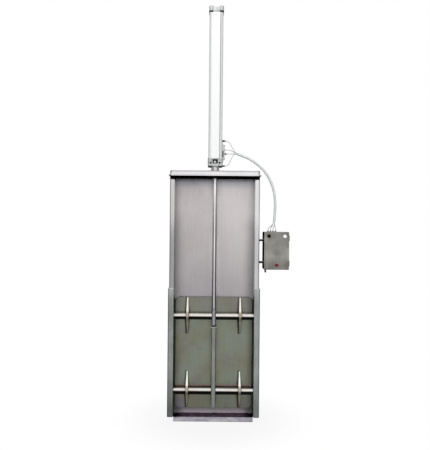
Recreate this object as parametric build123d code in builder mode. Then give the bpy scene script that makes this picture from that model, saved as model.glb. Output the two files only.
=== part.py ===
from build123d import *
import os
from math import radians, tan

# Pneumatic sluice gate: a stainless guide frame on a back plate, a leaf that a
# cylinder on the bridge lifts, and a control box on the right-hand upright.
# Millimetres. X runs across the gate, Y into the wall and Z up. The origin is on the
# wall face, on the centre line, in the middle of the strip below the opening.

# Driving dimensions
opening_width = 600.0
opening_height = 800.0
opening_corner = 30.0
invert_z = 50.0

frame_width = 720.0
frame_depth = 120.0
frame_bottom = -52.0
frame_top = 1862.0
plate_thickness = 8.0
channel_thickness = 5.0
channel_flange = 37.0
guide_gap = 5.0

leaf_width = 624.0
leaf_height = 902.0
leaf_thickness = 8.0
leaf_corner = 42.0
leaf_bottom = -4.0
seal_thickness = 10.0

axle_radius = 24.0
axle_wall = 3.0
lower_axle_z = 150.0
upper_axle_z = 750.0

rod_radius = 16.0
bore_radius = 50.0
barrel_width = 112.0
cap_width = 120.0
barrel_length = 1171.0

box_width = 200.0
box_height = 300.0
box_depth = 155.0
box_left = 393.0
box_bottom = 1135.0

line_radius = 3.0
sleeve_radius = 11.0

# Planes and axes that follow from the driving dimensions
half_frame = frame_width / 2
channel_front = -frame_depth
channel_rear = -plate_thickness
channel_depth = frame_depth - plate_thickness
channel_mid_y = (channel_front + channel_rear) / 2
rod_y = channel_mid_y
leaf_rear = -plate_thickness - seal_thickness - guide_gap
leaf_front = leaf_rear - leaf_thickness
rod_hole_radius = rod_radius + guide_gap
opening_mid_z = invert_z + opening_height / 2

os.makedirs("parts", exist_ok=True)


def save(piece, name):
    """Labels a finished piece and writes it as its own STEP file."""
    piece.label = name
    export_step(piece, f"parts/{name}.step")


def front_plane(y):
    """A plane parallel to the wall whose sketch X is X and whose sketch Y is Z."""
    return Plane(origin=(0, y, 0), x_dir=(1, 0, 0), z_dir=(0, -1, 0))


def side_plane(x):
    """A plane across the gate whose sketch X is Y and whose sketch Y is Z."""
    return Plane(origin=(x, 0, 0), x_dir=(0, 1, 0), z_dir=(1, 0, 0))


# Back plate: one sheet with the water passage cut through it
with BuildPart() as back_plate:
    with BuildSketch(front_plane(0)):
        with Locations((0, (frame_bottom + frame_top) / 2)):
            Rectangle(frame_width, frame_top - frame_bottom)
        with Locations((0, opening_mid_z)):
            RectangleRounded(opening_width, opening_height, opening_corner, mode=Mode.SUBTRACT)
    extrude(amount=plate_thickness)
save(back_plate.part, "back_plate")

# Opening seal: a rubber ring on the plate, round the water passage
seal_width = 10.0
with BuildPart() as opening_seal:
    with BuildSketch(front_plane(-plate_thickness)):
        with Locations((0, opening_mid_z)):
            RectangleRounded(
                opening_width + 2 * seal_width,
                opening_height + 2 * seal_width,
                opening_corner + seal_width,
            )
            RectangleRounded(opening_width, opening_height, opening_corner, mode=Mode.SUBTRACT)
    extrude(amount=seal_thickness)
save(opening_seal.part, "opening_seal")

# Guide channels: folded sheet, open towards the leaf, with a foot plate that reaches the end of
# the sill, and an angle over the lower half
bend_inside = 4.0
foot_reach = 6.0
angle_thickness = 8.0
angle_top = 980.0
angle_bend = 10.0
angle_bevel = 4.0
for side, sign in (("left", -1), ("right", 1)):
    tip = sign * (half_frame - channel_flange)
    web = sign * half_frame
    inner_web = sign * (half_frame - channel_thickness)
    foot_end = tip - sign * foot_reach
    with BuildPart() as upright:
        with BuildSketch(Plane.XY.offset(frame_bottom)):
            with BuildLine():
                Polyline(
                    (tip, channel_rear),
                    (web, channel_rear),
                    (web, channel_front),
                    (tip, channel_front),
                    (tip, channel_front + channel_thickness),
                    (inner_web, channel_front + channel_thickness),
                    (inner_web, channel_rear - channel_thickness),
                    (tip, channel_rear - channel_thickness),
                    close=True,
                )
            make_face()
        extrude(amount=frame_top - frame_bottom)
        long_edges = upright.edges().filter_by(Axis.Z)
        outside = long_edges.group_by(SortBy.DISTANCE)[-1]
        front_corner = outside.filter_by_position(Axis.Y, channel_front - 1, channel_front + 1)
        fillet(front_corner, bend_inside + channel_thickness)
        inside = upright.edges().filter_by(Axis.Z).filter_by_position(
            Axis.X, *sorted((inner_web - 0.5, inner_web + 0.5))
        )
        fillet(inside, bend_inside)
        with BuildSketch(Plane.XY.offset(frame_bottom)):
            with Locations(((foot_end + inner_web) / 2, channel_mid_y)):
                Rectangle(abs(inner_web - foot_end), channel_depth - 2 * channel_thickness)
        extrude(amount=channel_thickness)
    save(upright.part, f"{side}_upright")

    edge = sign * (half_frame + angle_thickness)
    with BuildPart() as guide_angle:
        with BuildSketch(Plane.XY.offset(frame_bottom)):
            with BuildLine():
                Polyline(
                    (tip, channel_front),
                    (web, channel_front),
                    (web, 0),
                    (edge, 0),
                    (edge, channel_front - angle_thickness),
                    (tip, channel_front - angle_thickness),
                    close=True,
                )
            make_face()
        extrude(amount=angle_top - frame_bottom)
        bend = guide_angle.edges().filter_by(Axis.Z).sort_by(Axis.Y).group_by(Axis.Y)[0]
        fillet(bend.sort_by(SortBy.DISTANCE)[-1], angle_bend)
        top_front = guide_angle.edges().group_by(Axis.Z)[-1].filter_by(Axis.X).sort_by(Axis.Y)[0]
        chamfer(top_front, angle_bevel)
    save(guide_angle.part, f"{side}_guide_angle")

# Sill: a folded trough under the plate and the feet, filled with a rubber cushion
sill_length = 637.0
sill_height = 38.0
sill_depth = 118.0
sill_wall = 6.0
with BuildPart() as sill:
    with BuildSketch(side_plane(-sill_length / 2)):
        with Locations((-sill_depth / 2, frame_bottom - sill_height / 2)):
            Rectangle(sill_depth, sill_height)
        with Locations((-sill_depth / 2, frame_bottom - sill_height / 2 + sill_wall / 2)):
            Rectangle(sill_depth - 2 * sill_wall, sill_height - sill_wall, mode=Mode.SUBTRACT)
    extrude(amount=sill_length)
    lower_front = sill.edges().filter_by(Axis.X).group_by(Axis.Z)[0].sort_by(Axis.Y)[0]
    fillet(lower_front, sill_wall)
save(sill.part, "sill")

cushion_drop = 2.0
cushion_bevel = 3.0
cushion_height = sill_height - sill_wall - cushion_drop
with BuildPart() as sill_cushion:
    with BuildSketch(side_plane(-sill_length / 2)):
        with Locations((-sill_depth / 2, frame_bottom - cushion_drop - cushion_height / 2)):
            Rectangle(sill_depth - 2 * sill_wall, cushion_height)
    extrude(amount=sill_length)
    chamfer(sill_cushion.edges().filter_by(Axis.X).group_by(Axis.Z)[-1], cushion_bevel)
save(sill_cushion.part, "sill_cushion")

# Bridge: rubber packing, a base plate and a folded beam that carries the cylinder
packing_height = 18.0
packing_depth = 116.0
base_height = 6.0
base_length = 740.0
base_depth = 126.0
base_y = -66.0
base_corner = 6.0
beam_height = 36.0
beam_depth = 120.0
beam_wall = 5.0
beam_corner = 12.0
beam_edge = 7.0
packing_top = frame_top + packing_height
base_top = packing_top + base_height
beam_top = base_top + beam_height
with BuildPart() as bridge_packing:
    with BuildSketch(Plane.XY.offset(frame_top)):
        with Locations((0, rod_y)):
            Rectangle(frame_width, packing_depth)
            Circle(rod_hole_radius, mode=Mode.SUBTRACT)
    extrude(amount=packing_height)
save(bridge_packing.part, "bridge_packing")

with BuildPart() as bridge_base:
    with BuildSketch(Plane.XY.offset(packing_top)):
        with Locations((0, base_y)):
            RectangleRounded(base_length, base_depth, base_corner)
        with Locations((0, rod_y)):
            Circle(rod_hole_radius, mode=Mode.SUBTRACT)
    extrude(amount=base_height)
save(bridge_base.part, "bridge_base")

with BuildPart() as bridge_beam:
    with BuildSketch(Plane.XY.offset(base_top)):
        with Locations((0, rod_y)):
            beam_outline = Rectangle(frame_width, beam_depth)
        chamfer(beam_outline.vertices(), beam_corner)
    extrude(amount=beam_height)
    fillet(bridge_beam.faces().sort_by(Axis.Z)[-1].edges(), beam_edge)
    with BuildSketch(Plane.XY.offset(base_top)):
        with Locations((0, rod_y)):
            beam_inside = Rectangle(frame_width - 2 * beam_wall, beam_depth - 2 * beam_wall)
        chamfer(beam_inside.vertices(), beam_corner - beam_wall / 2)
    extrude(amount=beam_height - beam_wall, mode=Mode.SUBTRACT)
    with BuildSketch(Plane.XY.offset(base_top)):
        with Locations((0, rod_y)):
            Circle(rod_hole_radius)
    extrude(amount=beam_height, mode=Mode.SUBTRACT)
save(bridge_beam.part, "bridge_beam")

# Cylinder: neck, front cap, profile barrel and rear cap on the axis of the rod
neck_height = 32.0
neck_radius = 33.0
neck_foot_radius = 36.0
neck_foot_height = 5.0
front_cap_height = 67.0
rear_cap_height = 53.0
front_cap_z = beam_top + neck_height
barrel_z = front_cap_z + front_cap_height
rear_cap_z = barrel_z + barrel_length
seal_gap = 0.3
with BuildPart() as cylinder_neck:
    with BuildSketch(Plane(origin=(0, rod_y, 0), x_dir=(1, 0, 0), z_dir=(0, -1, 0))):
        with BuildLine():
            Polyline(
                (rod_hole_radius, beam_top),
                (neck_foot_radius, beam_top),
                (neck_foot_radius, beam_top + neck_foot_height),
                (neck_radius, beam_top + neck_foot_height + neck_foot_radius - neck_radius),
                (neck_radius, beam_top + neck_height),
                (rod_hole_radius, beam_top + neck_height),
                close=True,
            )
        make_face()
    revolve(axis=Axis((0, rod_y, 0), (0, 0, 1)))
save(cylinder_neck.part, "cylinder_neck")

boss_radius = 19.0
boss_place = cap_width / 2 - boss_radius
cap_core = 104.0
cap_bevel = 6.0
pocket_width = 42.0
pocket_height = 36.0
pocket_depth = 15.0
pocket_corner = 6.0
pocket_z = front_cap_z + 42.0
screw_hole_radius = 7.0
screw_hole_depth = 16.0
screw_hole_x = 37.0
screw_hole_z = front_cap_z + 30.0
with BuildPart() as cylinder_front_cap:
    with BuildSketch(Plane.XY.offset(front_cap_z)):
        with Locations((0, rod_y)):
            Rectangle(cap_core, cap_core)
        with Locations((0, rod_y)):
            with GridLocations(2 * boss_place, 2 * boss_place, 2, 2):
                Circle(boss_radius)
    extrude(amount=front_cap_height)
    chamfer(cylinder_front_cap.faces().sort_by(Axis.Z)[0].edges(), cap_bevel)
    with BuildSketch(Plane.XY.offset(front_cap_z)):
        with Locations((0, rod_y)):
            Circle(rod_radius + seal_gap)
    extrude(amount=front_cap_height, mode=Mode.SUBTRACT)
    with BuildSketch(front_plane(rod_y - cap_core / 2)):
        with Locations((0, pocket_z)):
            RectangleRounded(pocket_width, pocket_height, pocket_corner)
    extrude(amount=-pocket_depth, mode=Mode.SUBTRACT)
    with BuildSketch(front_plane(rod_y - cap_width / 2)):
        with Locations((-screw_hole_x, screw_hole_z), (screw_hole_x, screw_hole_z)):
            Circle(screw_hole_radius)
    extrude(amount=-screw_hole_depth, mode=Mode.SUBTRACT)
save(cylinder_front_cap.part, "cylinder_front_cap")

plug_place = (-2.0, pocket_z - 4.0)
plug_nut = 11.0
plug_foot = 7.0
plug_radius = 8.5
plug_head = 6.0
plug_bevel = 2.0
pocket_floor = rod_y - cap_core / 2 + pocket_depth
with BuildPart() as port_plug:
    with BuildSketch(front_plane(pocket_floor)):
        with Locations(plug_place):
            RegularPolygon(plug_nut, 6)
    extrude(amount=plug_foot)
    with BuildSketch(front_plane(pocket_floor - plug_foot)):
        with Locations(plug_place):
            Circle(plug_radius)
    extrude(amount=plug_head)
    chamfer(port_plug.faces().sort_by(Axis.Y)[0].edges(), plug_bevel)
save(port_plug.part, "port_plug")

# The barrel's profile has rounded corners and two sensor slots in each face
barrel_corner = 21.0
slot_place = 35.0
slot_width = 8.0
slot_depth = 7.0
with BuildPart() as cylinder_barrel:
    with BuildSketch(Plane.XY.offset(barrel_z)):
        with Locations((0, rod_y)):
            RectangleRounded(barrel_width, barrel_width, barrel_corner)
            Circle(bore_radius, mode=Mode.SUBTRACT)
            with GridLocations(2 * slot_place, barrel_width - slot_depth, 2, 2):
                Rectangle(slot_width, slot_depth, mode=Mode.SUBTRACT)
            with GridLocations(barrel_width - slot_depth, 2 * slot_place, 2, 2):
                Rectangle(slot_depth, slot_width, mode=Mode.SUBTRACT)
    extrude(amount=barrel_length)
save(cylinder_barrel.part, "cylinder_barrel")

# The rear cap stands clear of the barrel on a spigot and has a screw well in each of four bosses
spigot_height = 9.0
boss_rise = 10.0
boss_bevel = 5.0
well_radius = 9.0
well_depth = 12.0
rear_cap_side = 119.0
rear_cap_flank = 92.0
boss_z = rear_cap_z + spigot_height
boss_step_z = rear_cap_z + rear_cap_height - boss_rise
with BuildPart() as cylinder_rear_cap:
    with BuildSketch(Plane.XY.offset(rear_cap_z)):
        with Locations((0, rod_y)):
            Rectangle(cap_core, cap_core)
    extrude(amount=spigot_height)
    with BuildSketch(Plane.XY.offset(boss_z)):
        with Locations((0, rod_y)):
            Rectangle(rear_cap_side, rear_cap_flank)
            Rectangle(cap_core, cap_core)
            with GridLocations(2 * boss_place, 2 * boss_place, 2, 2):
                Circle(boss_radius)
    extrude(amount=boss_step_z - boss_z)
    with BuildSketch(Plane.XY.offset(boss_step_z)):
        with Locations((0, rod_y)):
            with GridLocations(2 * boss_place, 2 * boss_place, 2, 2):
                Circle(boss_radius)
    extrude(amount=boss_rise)
    boss_tops = cylinder_rear_cap.faces().group_by(Axis.Z)[-1]
    chamfer(boss_tops.edges(), boss_bevel)
    with BuildSketch(Plane.XY.offset(boss_step_z + boss_rise)):
        with Locations((0, rod_y)):
            with GridLocations(2 * boss_place, 2 * boss_place, 2, 2):
                Circle(well_radius)
    extrude(amount=-well_depth, mode=Mode.SUBTRACT)
save(cylinder_rear_cap.part, "cylinder_rear_cap")

# Valve on the barrel's right face, and the fittings the four lines leave from
valve_left = barrel_width / 2
valve_base_height = 160.0
valve_base_depth = 40.0
valve_base = 8.0
valve_base_z = barrel_z + 46.0
valve_head_height = 124.0
valve_head_depth = 34.0
valve_head = 12.0
valve_head_z = valve_base_z + 7.0
valve_corner = 4.0
valve_bevel = 3.0
valve_right = valve_left + valve_base + valve_head
with BuildPart() as valve_block:
    with BuildSketch(Plane.YZ.offset(valve_left)):
        with Locations((rod_y, valve_base_z)):
            RectangleRounded(valve_base_depth, valve_base_height, valve_corner)
    extrude(amount=valve_base)
    with BuildSketch(Plane.YZ.offset(valve_left + valve_base)):
        with Locations((rod_y, valve_head_z)):
            RectangleRounded(valve_head_depth, valve_head_height, valve_corner)
    extrude(amount=valve_head)
    chamfer(valve_block.faces().sort_by(Axis.X)[-1].edges(), valve_bevel)
save(valve_block.part, "valve_block")

# Line ends: where each fitting starts and ends along X, its height and its nut's radius
line_end_1 = (valve_left, 82.0, 2166.0, 9.0)
line_end_2 = (valve_right, 86.0, 2095.0, 7.0)
line_end_3 = (valve_right, 90.0, 2061.0, 8.0)
line_end_4 = (cap_core / 2, 78.0, 1964.0, 8.0)
fitting_radius = 6.0
with BuildPart() as line_fittings:
    for base_x, tip_x, height, nut in (line_end_1, line_end_2, line_end_3, line_end_4):
        half_length = (tip_x - base_x) / 2
        with BuildSketch(Plane.YZ.offset(base_x)):
            with Locations((rod_y, height)):
                RegularPolygon(nut, 6)
        extrude(amount=half_length)
        with BuildSketch(Plane.YZ.offset(base_x + half_length)):
            with Locations((rod_y, height)):
                Circle(fitting_radius)
        extrude(amount=half_length)
save(line_fittings.part, "line_fittings")

# Control box: a folded case on two flat bars, a hinged door and three operators
box_right = box_left + box_width
box_mid_x = box_left + box_width / 2
box_mid_z = box_bottom + box_height / 2
box_top = box_bottom + box_height
box_rear = -5.0
box_corner = 6.0
door_front = box_rear - box_depth
case_front = door_front + 18.0
case_wall = 2.5
door_depth = 13.0
door_edge = 3.0
door_rear = door_front + door_depth
bar_thickness = 14.0
bar_depth = 60.0
bar_y = -80.0
bar_heights = (box_bottom + 55, box_bottom + 232)
with BuildPart() as box_brackets:
    for height in bar_heights:
        with BuildSketch(Plane.XY.offset(height - bar_thickness / 2)):
            with Locations(((half_frame + box_left) / 2, bar_y)):
                Rectangle(box_left - half_frame, bar_depth)
        extrude(amount=bar_thickness)
save(box_brackets.part, "box_brackets")

inlet_x = 412.0
inlet_bore = 4.0
gland_y = -82.0
with BuildPart() as control_box:
    with BuildSketch(front_plane(box_rear)):
        with Locations((box_mid_x, box_mid_z)):
            RectangleRounded(box_width, box_height, box_corner)
    extrude(amount=box_rear - case_front)
    offset(amount=-case_wall, openings=control_box.faces().sort_by(Axis.Y)[0])
    with BuildSketch(Plane.XY.offset(box_bottom)):
        with Locations((inlet_x, gland_y)):
            Circle(inlet_bore)
    extrude(amount=case_wall, mode=Mode.SUBTRACT)
save(control_box.part, "control_box")

gasket_width = 9.0
gasket_set_back = 2.0
gasket_thickness = 4.0
gasket_corner = 3.0
with BuildPart() as door_gasket:
    with BuildSketch(front_plane(case_front)):
        with Locations((box_mid_x, box_mid_z)):
            RectangleRounded(
                box_width - 2 * gasket_set_back,
                box_height - 2 * gasket_set_back,
                box_corner - gasket_set_back,
            )
            RectangleRounded(
                box_width - 2 * gasket_width,
                box_height - 2 * gasket_width,
                gasket_corner,
                mode=Mode.SUBTRACT,
            )
    extrude(amount=gasket_thickness)
save(door_gasket.part, "door_gasket")

gland_xs = (431.0, 451.0, 471.0, 491.0)
gland_half = 5.0
gland_nut = 8.0
gland_radius = 6.0
with BuildPart() as box_glands:
    with BuildSketch(Plane.XY.offset(box_top)):
        with Locations(*((x, gland_y) for x in gland_xs)):
            RegularPolygon(gland_nut, 6)
    extrude(amount=gland_half)
    with BuildSketch(Plane.XY.offset(box_top + gland_half)):
        with Locations(*((x, gland_y) for x in gland_xs)):
            Circle(gland_radius)
    extrude(amount=gland_half)
save(box_glands.part, "box_glands")

inlet_length = 28.0
inlet_nut = 9.0
inlet_nut_height = 10.0
inlet_radius = 7.0
with BuildPart() as box_inlet:
    with BuildSketch(Plane.XY.offset(box_bottom)):
        with Locations((inlet_x, gland_y)):
            RegularPolygon(inlet_nut, 6)
    extrude(amount=-inlet_nut_height)
    with BuildSketch(Plane.XY.offset(box_bottom - inlet_nut_height)):
        with Locations((inlet_x, gland_y)):
            Circle(inlet_radius)
    extrude(amount=inlet_nut_height - inlet_length)
    with BuildSketch(Plane.XY.offset(box_bottom)):
        with Locations((inlet_x, gland_y)):
            Circle(inlet_bore)
    extrude(amount=-inlet_length, mode=Mode.SUBTRACT)
save(box_inlet.part, "box_inlet")

# Hinges: fixed knuckles and their pins on the case, a loose knuckle on the door
hinge_x = box_right + 3.0
hinge_y = case_front - 3.0
hinge_heights = (box_bottom + 50, box_bottom + 250)
knuckle_radius = 2.8
knuckle_gap = 0.5
pin_radius = 1.3
pin_clearance = 0.4
hinge_sheet = 1.5
case_sheet_length = 20.0
door_sheet_front = door_front + 2.0
fixed_knuckle = 11.0
loose_knuckle = 20.0
with BuildPart() as case_hinges:
    for height in hinge_heights:
        half_opening = loose_knuckle / 2 + knuckle_gap
        for foot in (height - half_opening - fixed_knuckle, height + half_opening):
            with BuildSketch(Plane.XY.offset(foot)):
                with Locations((hinge_x, hinge_y)):
                    Circle(knuckle_radius)
                with Locations((box_right + hinge_sheet / 2, hinge_y + case_sheet_length / 2)):
                    Rectangle(hinge_sheet, case_sheet_length)
            extrude(amount=fixed_knuckle)
        with BuildSketch(Plane.XY.offset(height - half_opening)):
            with Locations((hinge_x, hinge_y)):
                Circle(pin_radius)
        extrude(amount=2 * half_opening)
save(case_hinges.part, "case_hinges")

with BuildPart() as door_hinges:
    for height in hinge_heights:
        with BuildSketch(Plane.XY.offset(height - loose_knuckle / 2)):
            with Locations((hinge_x, hinge_y)):
                Circle(knuckle_radius)
            with Locations((box_right + hinge_sheet / 2, (hinge_y + door_sheet_front) / 2)):
                Rectangle(hinge_sheet, hinge_y - door_sheet_front)
            with Locations((hinge_x, hinge_y)):
                Circle(pin_radius + pin_clearance, mode=Mode.SUBTRACT)
        extrude(amount=loose_knuckle)
save(door_hinges.part, "door_hinges")

selector_place = (433.0, 1402.0)
lamp_place = (558.0, 1399.0)
stop_place = (494.0, 1174.0)
stop_travel = 5.0
operator_radius = 11.0
with BuildPart() as box_door:
    with BuildSketch(front_plane(door_rear)):
        with Locations((box_mid_x, box_mid_z)):
            RectangleRounded(box_width, box_height, box_corner)
    extrude(amount=door_depth)
    fillet(box_door.faces().sort_by(Axis.Y)[0].edges(), door_edge)
    with BuildSketch(front_plane(door_rear)):
        with Locations((box_mid_x, box_mid_z)):
            RectangleRounded(
                box_width - 2 * case_wall, box_height - 2 * case_wall, box_corner - case_wall
            )
    extrude(amount=door_depth - case_wall, mode=Mode.SUBTRACT)
    with BuildSketch(front_plane(door_rear)):
        with Locations(selector_place, lamp_place, stop_place):
            Circle(operator_radius)
    extrude(amount=door_depth, mode=Mode.SUBTRACT)
save(box_door.part, "box_door")

# Each operator sits in its hole with a collar outside and a nut inside the door
operator_rear = door_front + 28.0
collar_height = 5.0
collar_bevel = 1.5
nut_radius = 15.0
nut_height = 5.0
nut_rear = door_front + case_wall + nut_height
shaft_radius = 7.5
shaft_hole_radius = 8.0
selector_radius = 14.0
stop_radius = 14.5
head_gap = 1.0
for name, place, collar in (
    ("selector_collar", selector_place, selector_radius),
    ("stop_collar", stop_place, stop_radius),
):
    with BuildPart() as operator_collar:
        with BuildSketch(front_plane(door_front)):
            with Locations(place):
                Circle(collar)
        extrude(amount=collar_height)
        chamfer(operator_collar.faces().sort_by(Axis.Y)[0].edges(), collar_bevel)
        with BuildSketch(front_plane(operator_rear)):
            with Locations(place):
                Circle(operator_radius)
        extrude(amount=operator_rear - door_front)
        with BuildSketch(front_plane(nut_rear)):
            with Locations(place):
                RegularPolygon(nut_radius, 6)
        extrude(amount=nut_height)
        with BuildSketch(front_plane(operator_rear)):
            with Locations(place):
                Circle(shaft_hole_radius)
        extrude(amount=operator_rear - door_front + collar_height, mode=Mode.SUBTRACT)
    save(operator_collar.part, name)

knob_rear = door_front - collar_height - head_gap
knob_shaft_rear = operator_rear - 4.0
knob_radius = 11.5
knob_height = 8.0
knob_bevel = 1.5
grip_length = 22.0
grip_width = 8.0
grip_height = 9.0
with BuildPart() as selector_knob:
    with BuildSketch(front_plane(knob_shaft_rear)):
        with Locations(selector_place):
            Circle(shaft_radius)
    extrude(amount=knob_shaft_rear - knob_rear)
    with BuildSketch(front_plane(knob_rear)):
        with Locations(selector_place):
            Circle(knob_radius)
    extrude(amount=knob_height)
    with BuildSketch(front_plane(knob_rear - knob_height)):
        with Locations(selector_place):
            SlotOverall(grip_length, grip_width, rotation=90)
    extrude(amount=grip_height)
    chamfer(selector_knob.faces().sort_by(Axis.Y)[0].edges(), knob_bevel)
save(selector_knob.part, "selector_knob")

button_rear = door_front - collar_height - stop_travel - head_gap
button_shaft_rear = operator_rear - 6.0
button_radius = 12.5
button_height = 9.0
button_bevel = 3.0
with BuildPart() as stop_button:
    with BuildSketch(front_plane(button_shaft_rear)):
        with Locations(stop_place):
            Circle(shaft_radius)
    extrude(amount=button_shaft_rear - button_rear)
    with BuildSketch(front_plane(button_rear)):
        with Locations(stop_place):
            Circle(button_radius)
    extrude(amount=button_height)
    chamfer(stop_button.faces().sort_by(Axis.Y)[0].edges(), button_bevel)
save(stop_button.part, "stop_button")

lamp_radius = 14.5
lamp_height = 13.0
lamp_bevel = 5.0
lamp_crown_bevel = 2.0
with BuildPart() as door_lamp:
    with BuildSketch(front_plane(door_front)):
        with Locations(lamp_place):
            Circle(lamp_radius)
    extrude(amount=lamp_height)
    chamfer(door_lamp.faces().sort_by(Axis.Y)[0].edges(), lamp_bevel)
    chamfer(door_lamp.faces().sort_by(Axis.Y)[0].edges(), lamp_crown_bevel)
    with BuildSketch(front_plane(operator_rear)):
        with Locations(lamp_place):
            Circle(operator_radius)
    extrude(amount=operator_rear - door_front)
    with BuildSketch(front_plane(nut_rear)):
        with Locations(lamp_place):
            RegularPolygon(nut_radius, 6)
    extrude(amount=nut_height)
save(door_lamp.part, "door_lamp")

# Gate: the leaf, its two axles in slide blocks, four lugs, a stiffener and the rod
leaf_bevel = 1.5
with BuildPart() as gate_leaf:
    with BuildSketch(front_plane(leaf_rear)):
        with Locations((0, leaf_bottom + leaf_height / 2)):
            RectangleRounded(leaf_width, leaf_height, leaf_corner)
    extrude(amount=leaf_thickness)
    chamfer(gate_leaf.faces().sort_by(Axis.Y)[0].edges(), leaf_bevel)
save(gate_leaf.part, "gate_leaf")

# The lugs stand up from the leaf to the axle and are thickest where it passes through them
block_height = 90.0
block_corner = 8.0
block_inset = 2.0
block_inner = half_frame - channel_flange + block_inset
block_outer = half_frame - channel_thickness - guide_gap
block_depth = channel_depth - 2 * channel_thickness - 2 * guide_gap
lug_place = 213.0
lug_half_height = 145.0
lug_foot = 8.0
lug_thickness = 18.0
lug_waist = 24.0
lug_tip = 6.0
lower_lug_head = 7.0
upper_lug_head = 9.0
lug_apex_radius = leaf_front - rod_y
lug_front = rod_y - lug_apex_radius
for level, height, lug_head in (
    ("lower", lower_axle_z, lower_lug_head),
    ("upper", upper_axle_z, upper_lug_head),
):
    with BuildPart() as axle:
        with BuildSketch(Plane.YZ.offset(-block_outer)):
            with Locations((rod_y, height)):
                Circle(axle_radius)
                Circle(axle_radius - axle_wall, mode=Mode.SUBTRACT)
        extrude(amount=2 * block_outer)
    save(axle.part, f"{level}_axle")

    with BuildPart() as slide_blocks:
        for start in (-block_outer, block_inner):
            with BuildSketch(Plane.YZ.offset(start)):
                with Locations((rod_y, height)):
                    RectangleRounded(block_depth, block_height, block_corner)
                    Circle(axle_radius, mode=Mode.SUBTRACT)
            extrude(amount=block_outer - block_inner)
    save(slide_blocks.part, f"{level}_slide_blocks")

    with BuildPart() as lugs:
        for start in (-lug_place - lug_thickness / 2, lug_place - lug_thickness / 2):
            with BuildSketch(Plane.YZ.offset(start)):
                with Locations((rod_y, height)):
                    Circle(lug_apex_radius)
                with Locations((leaf_front - lug_foot / 2, height)):
                    Rectangle(lug_foot, 2 * lug_half_height)
                make_hull()
                with Locations((rod_y, height)):
                    Circle(axle_radius, mode=Mode.SUBTRACT)
            extrude(amount=lug_thickness)
        with BuildSketch(front_plane(leaf_front)):
            with Locations((-lug_place, height), (lug_place, height)):
                Polygon(
                    (-lug_tip / 2, -lug_half_height),
                    (lug_tip / 2, -lug_half_height),
                    (lug_thickness / 2, -lug_waist),
                    (lug_thickness / 2, lug_waist),
                    (lug_head / 2, lug_half_height),
                    (-lug_head / 2, lug_half_height),
                    (-lug_thickness / 2, lug_waist),
                    (-lug_thickness / 2, -lug_waist),
                    align=None,
                )
        extrude(amount=leaf_front - lug_front, mode=Mode.INTERSECT)
    save(lugs.part, f"{level}_lugs")

stiffener_width = 35.0
stiffener_bottom = 20.0
stiffener_top = 667.0
stiffener_wall = 4.0
stiffener_corner = 7.0
stiffener_front = -100.0
stiffener_depth = leaf_front - stiffener_front
stiffener_mid_y = (stiffener_front + leaf_front) / 2
cover_width = 48.0
cover_lip = 4.0
with BuildPart() as stiffener:
    with BuildSketch(Plane.XY.offset(stiffener_bottom)):
        with Locations((0, stiffener_mid_y)):
            RectangleRounded(stiffener_width, stiffener_depth, stiffener_corner)
            RectangleRounded(
                stiffener_width - 2 * stiffener_wall,
                stiffener_depth - 2 * stiffener_wall,
                stiffener_corner - stiffener_wall,
                mode=Mode.SUBTRACT,
            )
    extrude(amount=stiffener_top - stiffener_wall - stiffener_bottom)
    with BuildSketch(Plane.XY.offset(stiffener_bottom)):
        with Locations((0, stiffener_mid_y)):
            RectangleRounded(stiffener_width, stiffener_depth, stiffener_corner)
    extrude(amount=stiffener_wall)
    with BuildSketch(Plane.XY.offset(stiffener_top - stiffener_wall)):
        with Locations((0, stiffener_mid_y - cover_lip / 2)):
            Rectangle(cover_width, stiffener_depth + cover_lip)
    extrude(amount=stiffener_wall)
    with BuildSketch(Plane.YZ.offset(-stiffener_width / 2)):
        with Locations((rod_y, lower_axle_z)):
            Circle(axle_radius)
    extrude(amount=stiffener_width, mode=Mode.SUBTRACT)
save(stiffener.part, "stiffener")

rod_end_width = 36.0
rod_end_depth = 64.0
rod_end_corner = 14.0
rod_end_bevel = 4.0
rod_end_bottom = 675.0
rod_end_shoulder = 800.0
rod_end_top = 812.0
with BuildPart() as rod_end:
    with BuildSketch(Plane.XY.offset(rod_end_bottom)):
        with Locations((0, rod_y)):
            RectangleRounded(rod_end_width, rod_end_depth, rod_end_corner)
    extrude(amount=rod_end_shoulder - rod_end_bottom)
    chamfer(rod_end.faces().sort_by(Axis.Z)[0].edges(), rod_end_bevel)
    chamfer(rod_end.faces().sort_by(Axis.Z)[-1].edges(), rod_end_bevel)
    with BuildSketch(Plane.XY.offset(rod_end_shoulder - rod_end_bevel)):
        with Locations((0, rod_y)):
            Circle(rod_end_width / 2)
    extrude(amount=rod_end_top - rod_end_shoulder + rod_end_bevel)
    with BuildSketch(Plane.YZ.offset(-rod_end_width / 2)):
        with Locations((rod_y, upper_axle_z)):
            Circle(axle_radius)
    extrude(amount=rod_end_width, mode=Mode.SUBTRACT)
save(rod_end.part, "rod_end")

piston_clearance = 0.5
piston_radius = bore_radius - piston_clearance
piston_z = barrel_z + 9.0
piston_height = 60.0
with BuildPart() as piston_rod:
    with BuildSketch(Plane(origin=(0, rod_y, 0), x_dir=(1, 0, 0), z_dir=(0, -1, 0))):
        with BuildLine():
            Polyline(
                (0, rod_end_top),
                (rod_radius, rod_end_top),
                (rod_radius, piston_z),
                (piston_radius, piston_z),
                (piston_radius, piston_z + piston_height),
                (0, piston_z + piston_height),
                close=True,
            )
        make_face()
    revolve(axis=Axis((0, rod_y, 0), (0, 0, 1)))
save(piston_rod.part, "piston_rod")


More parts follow.
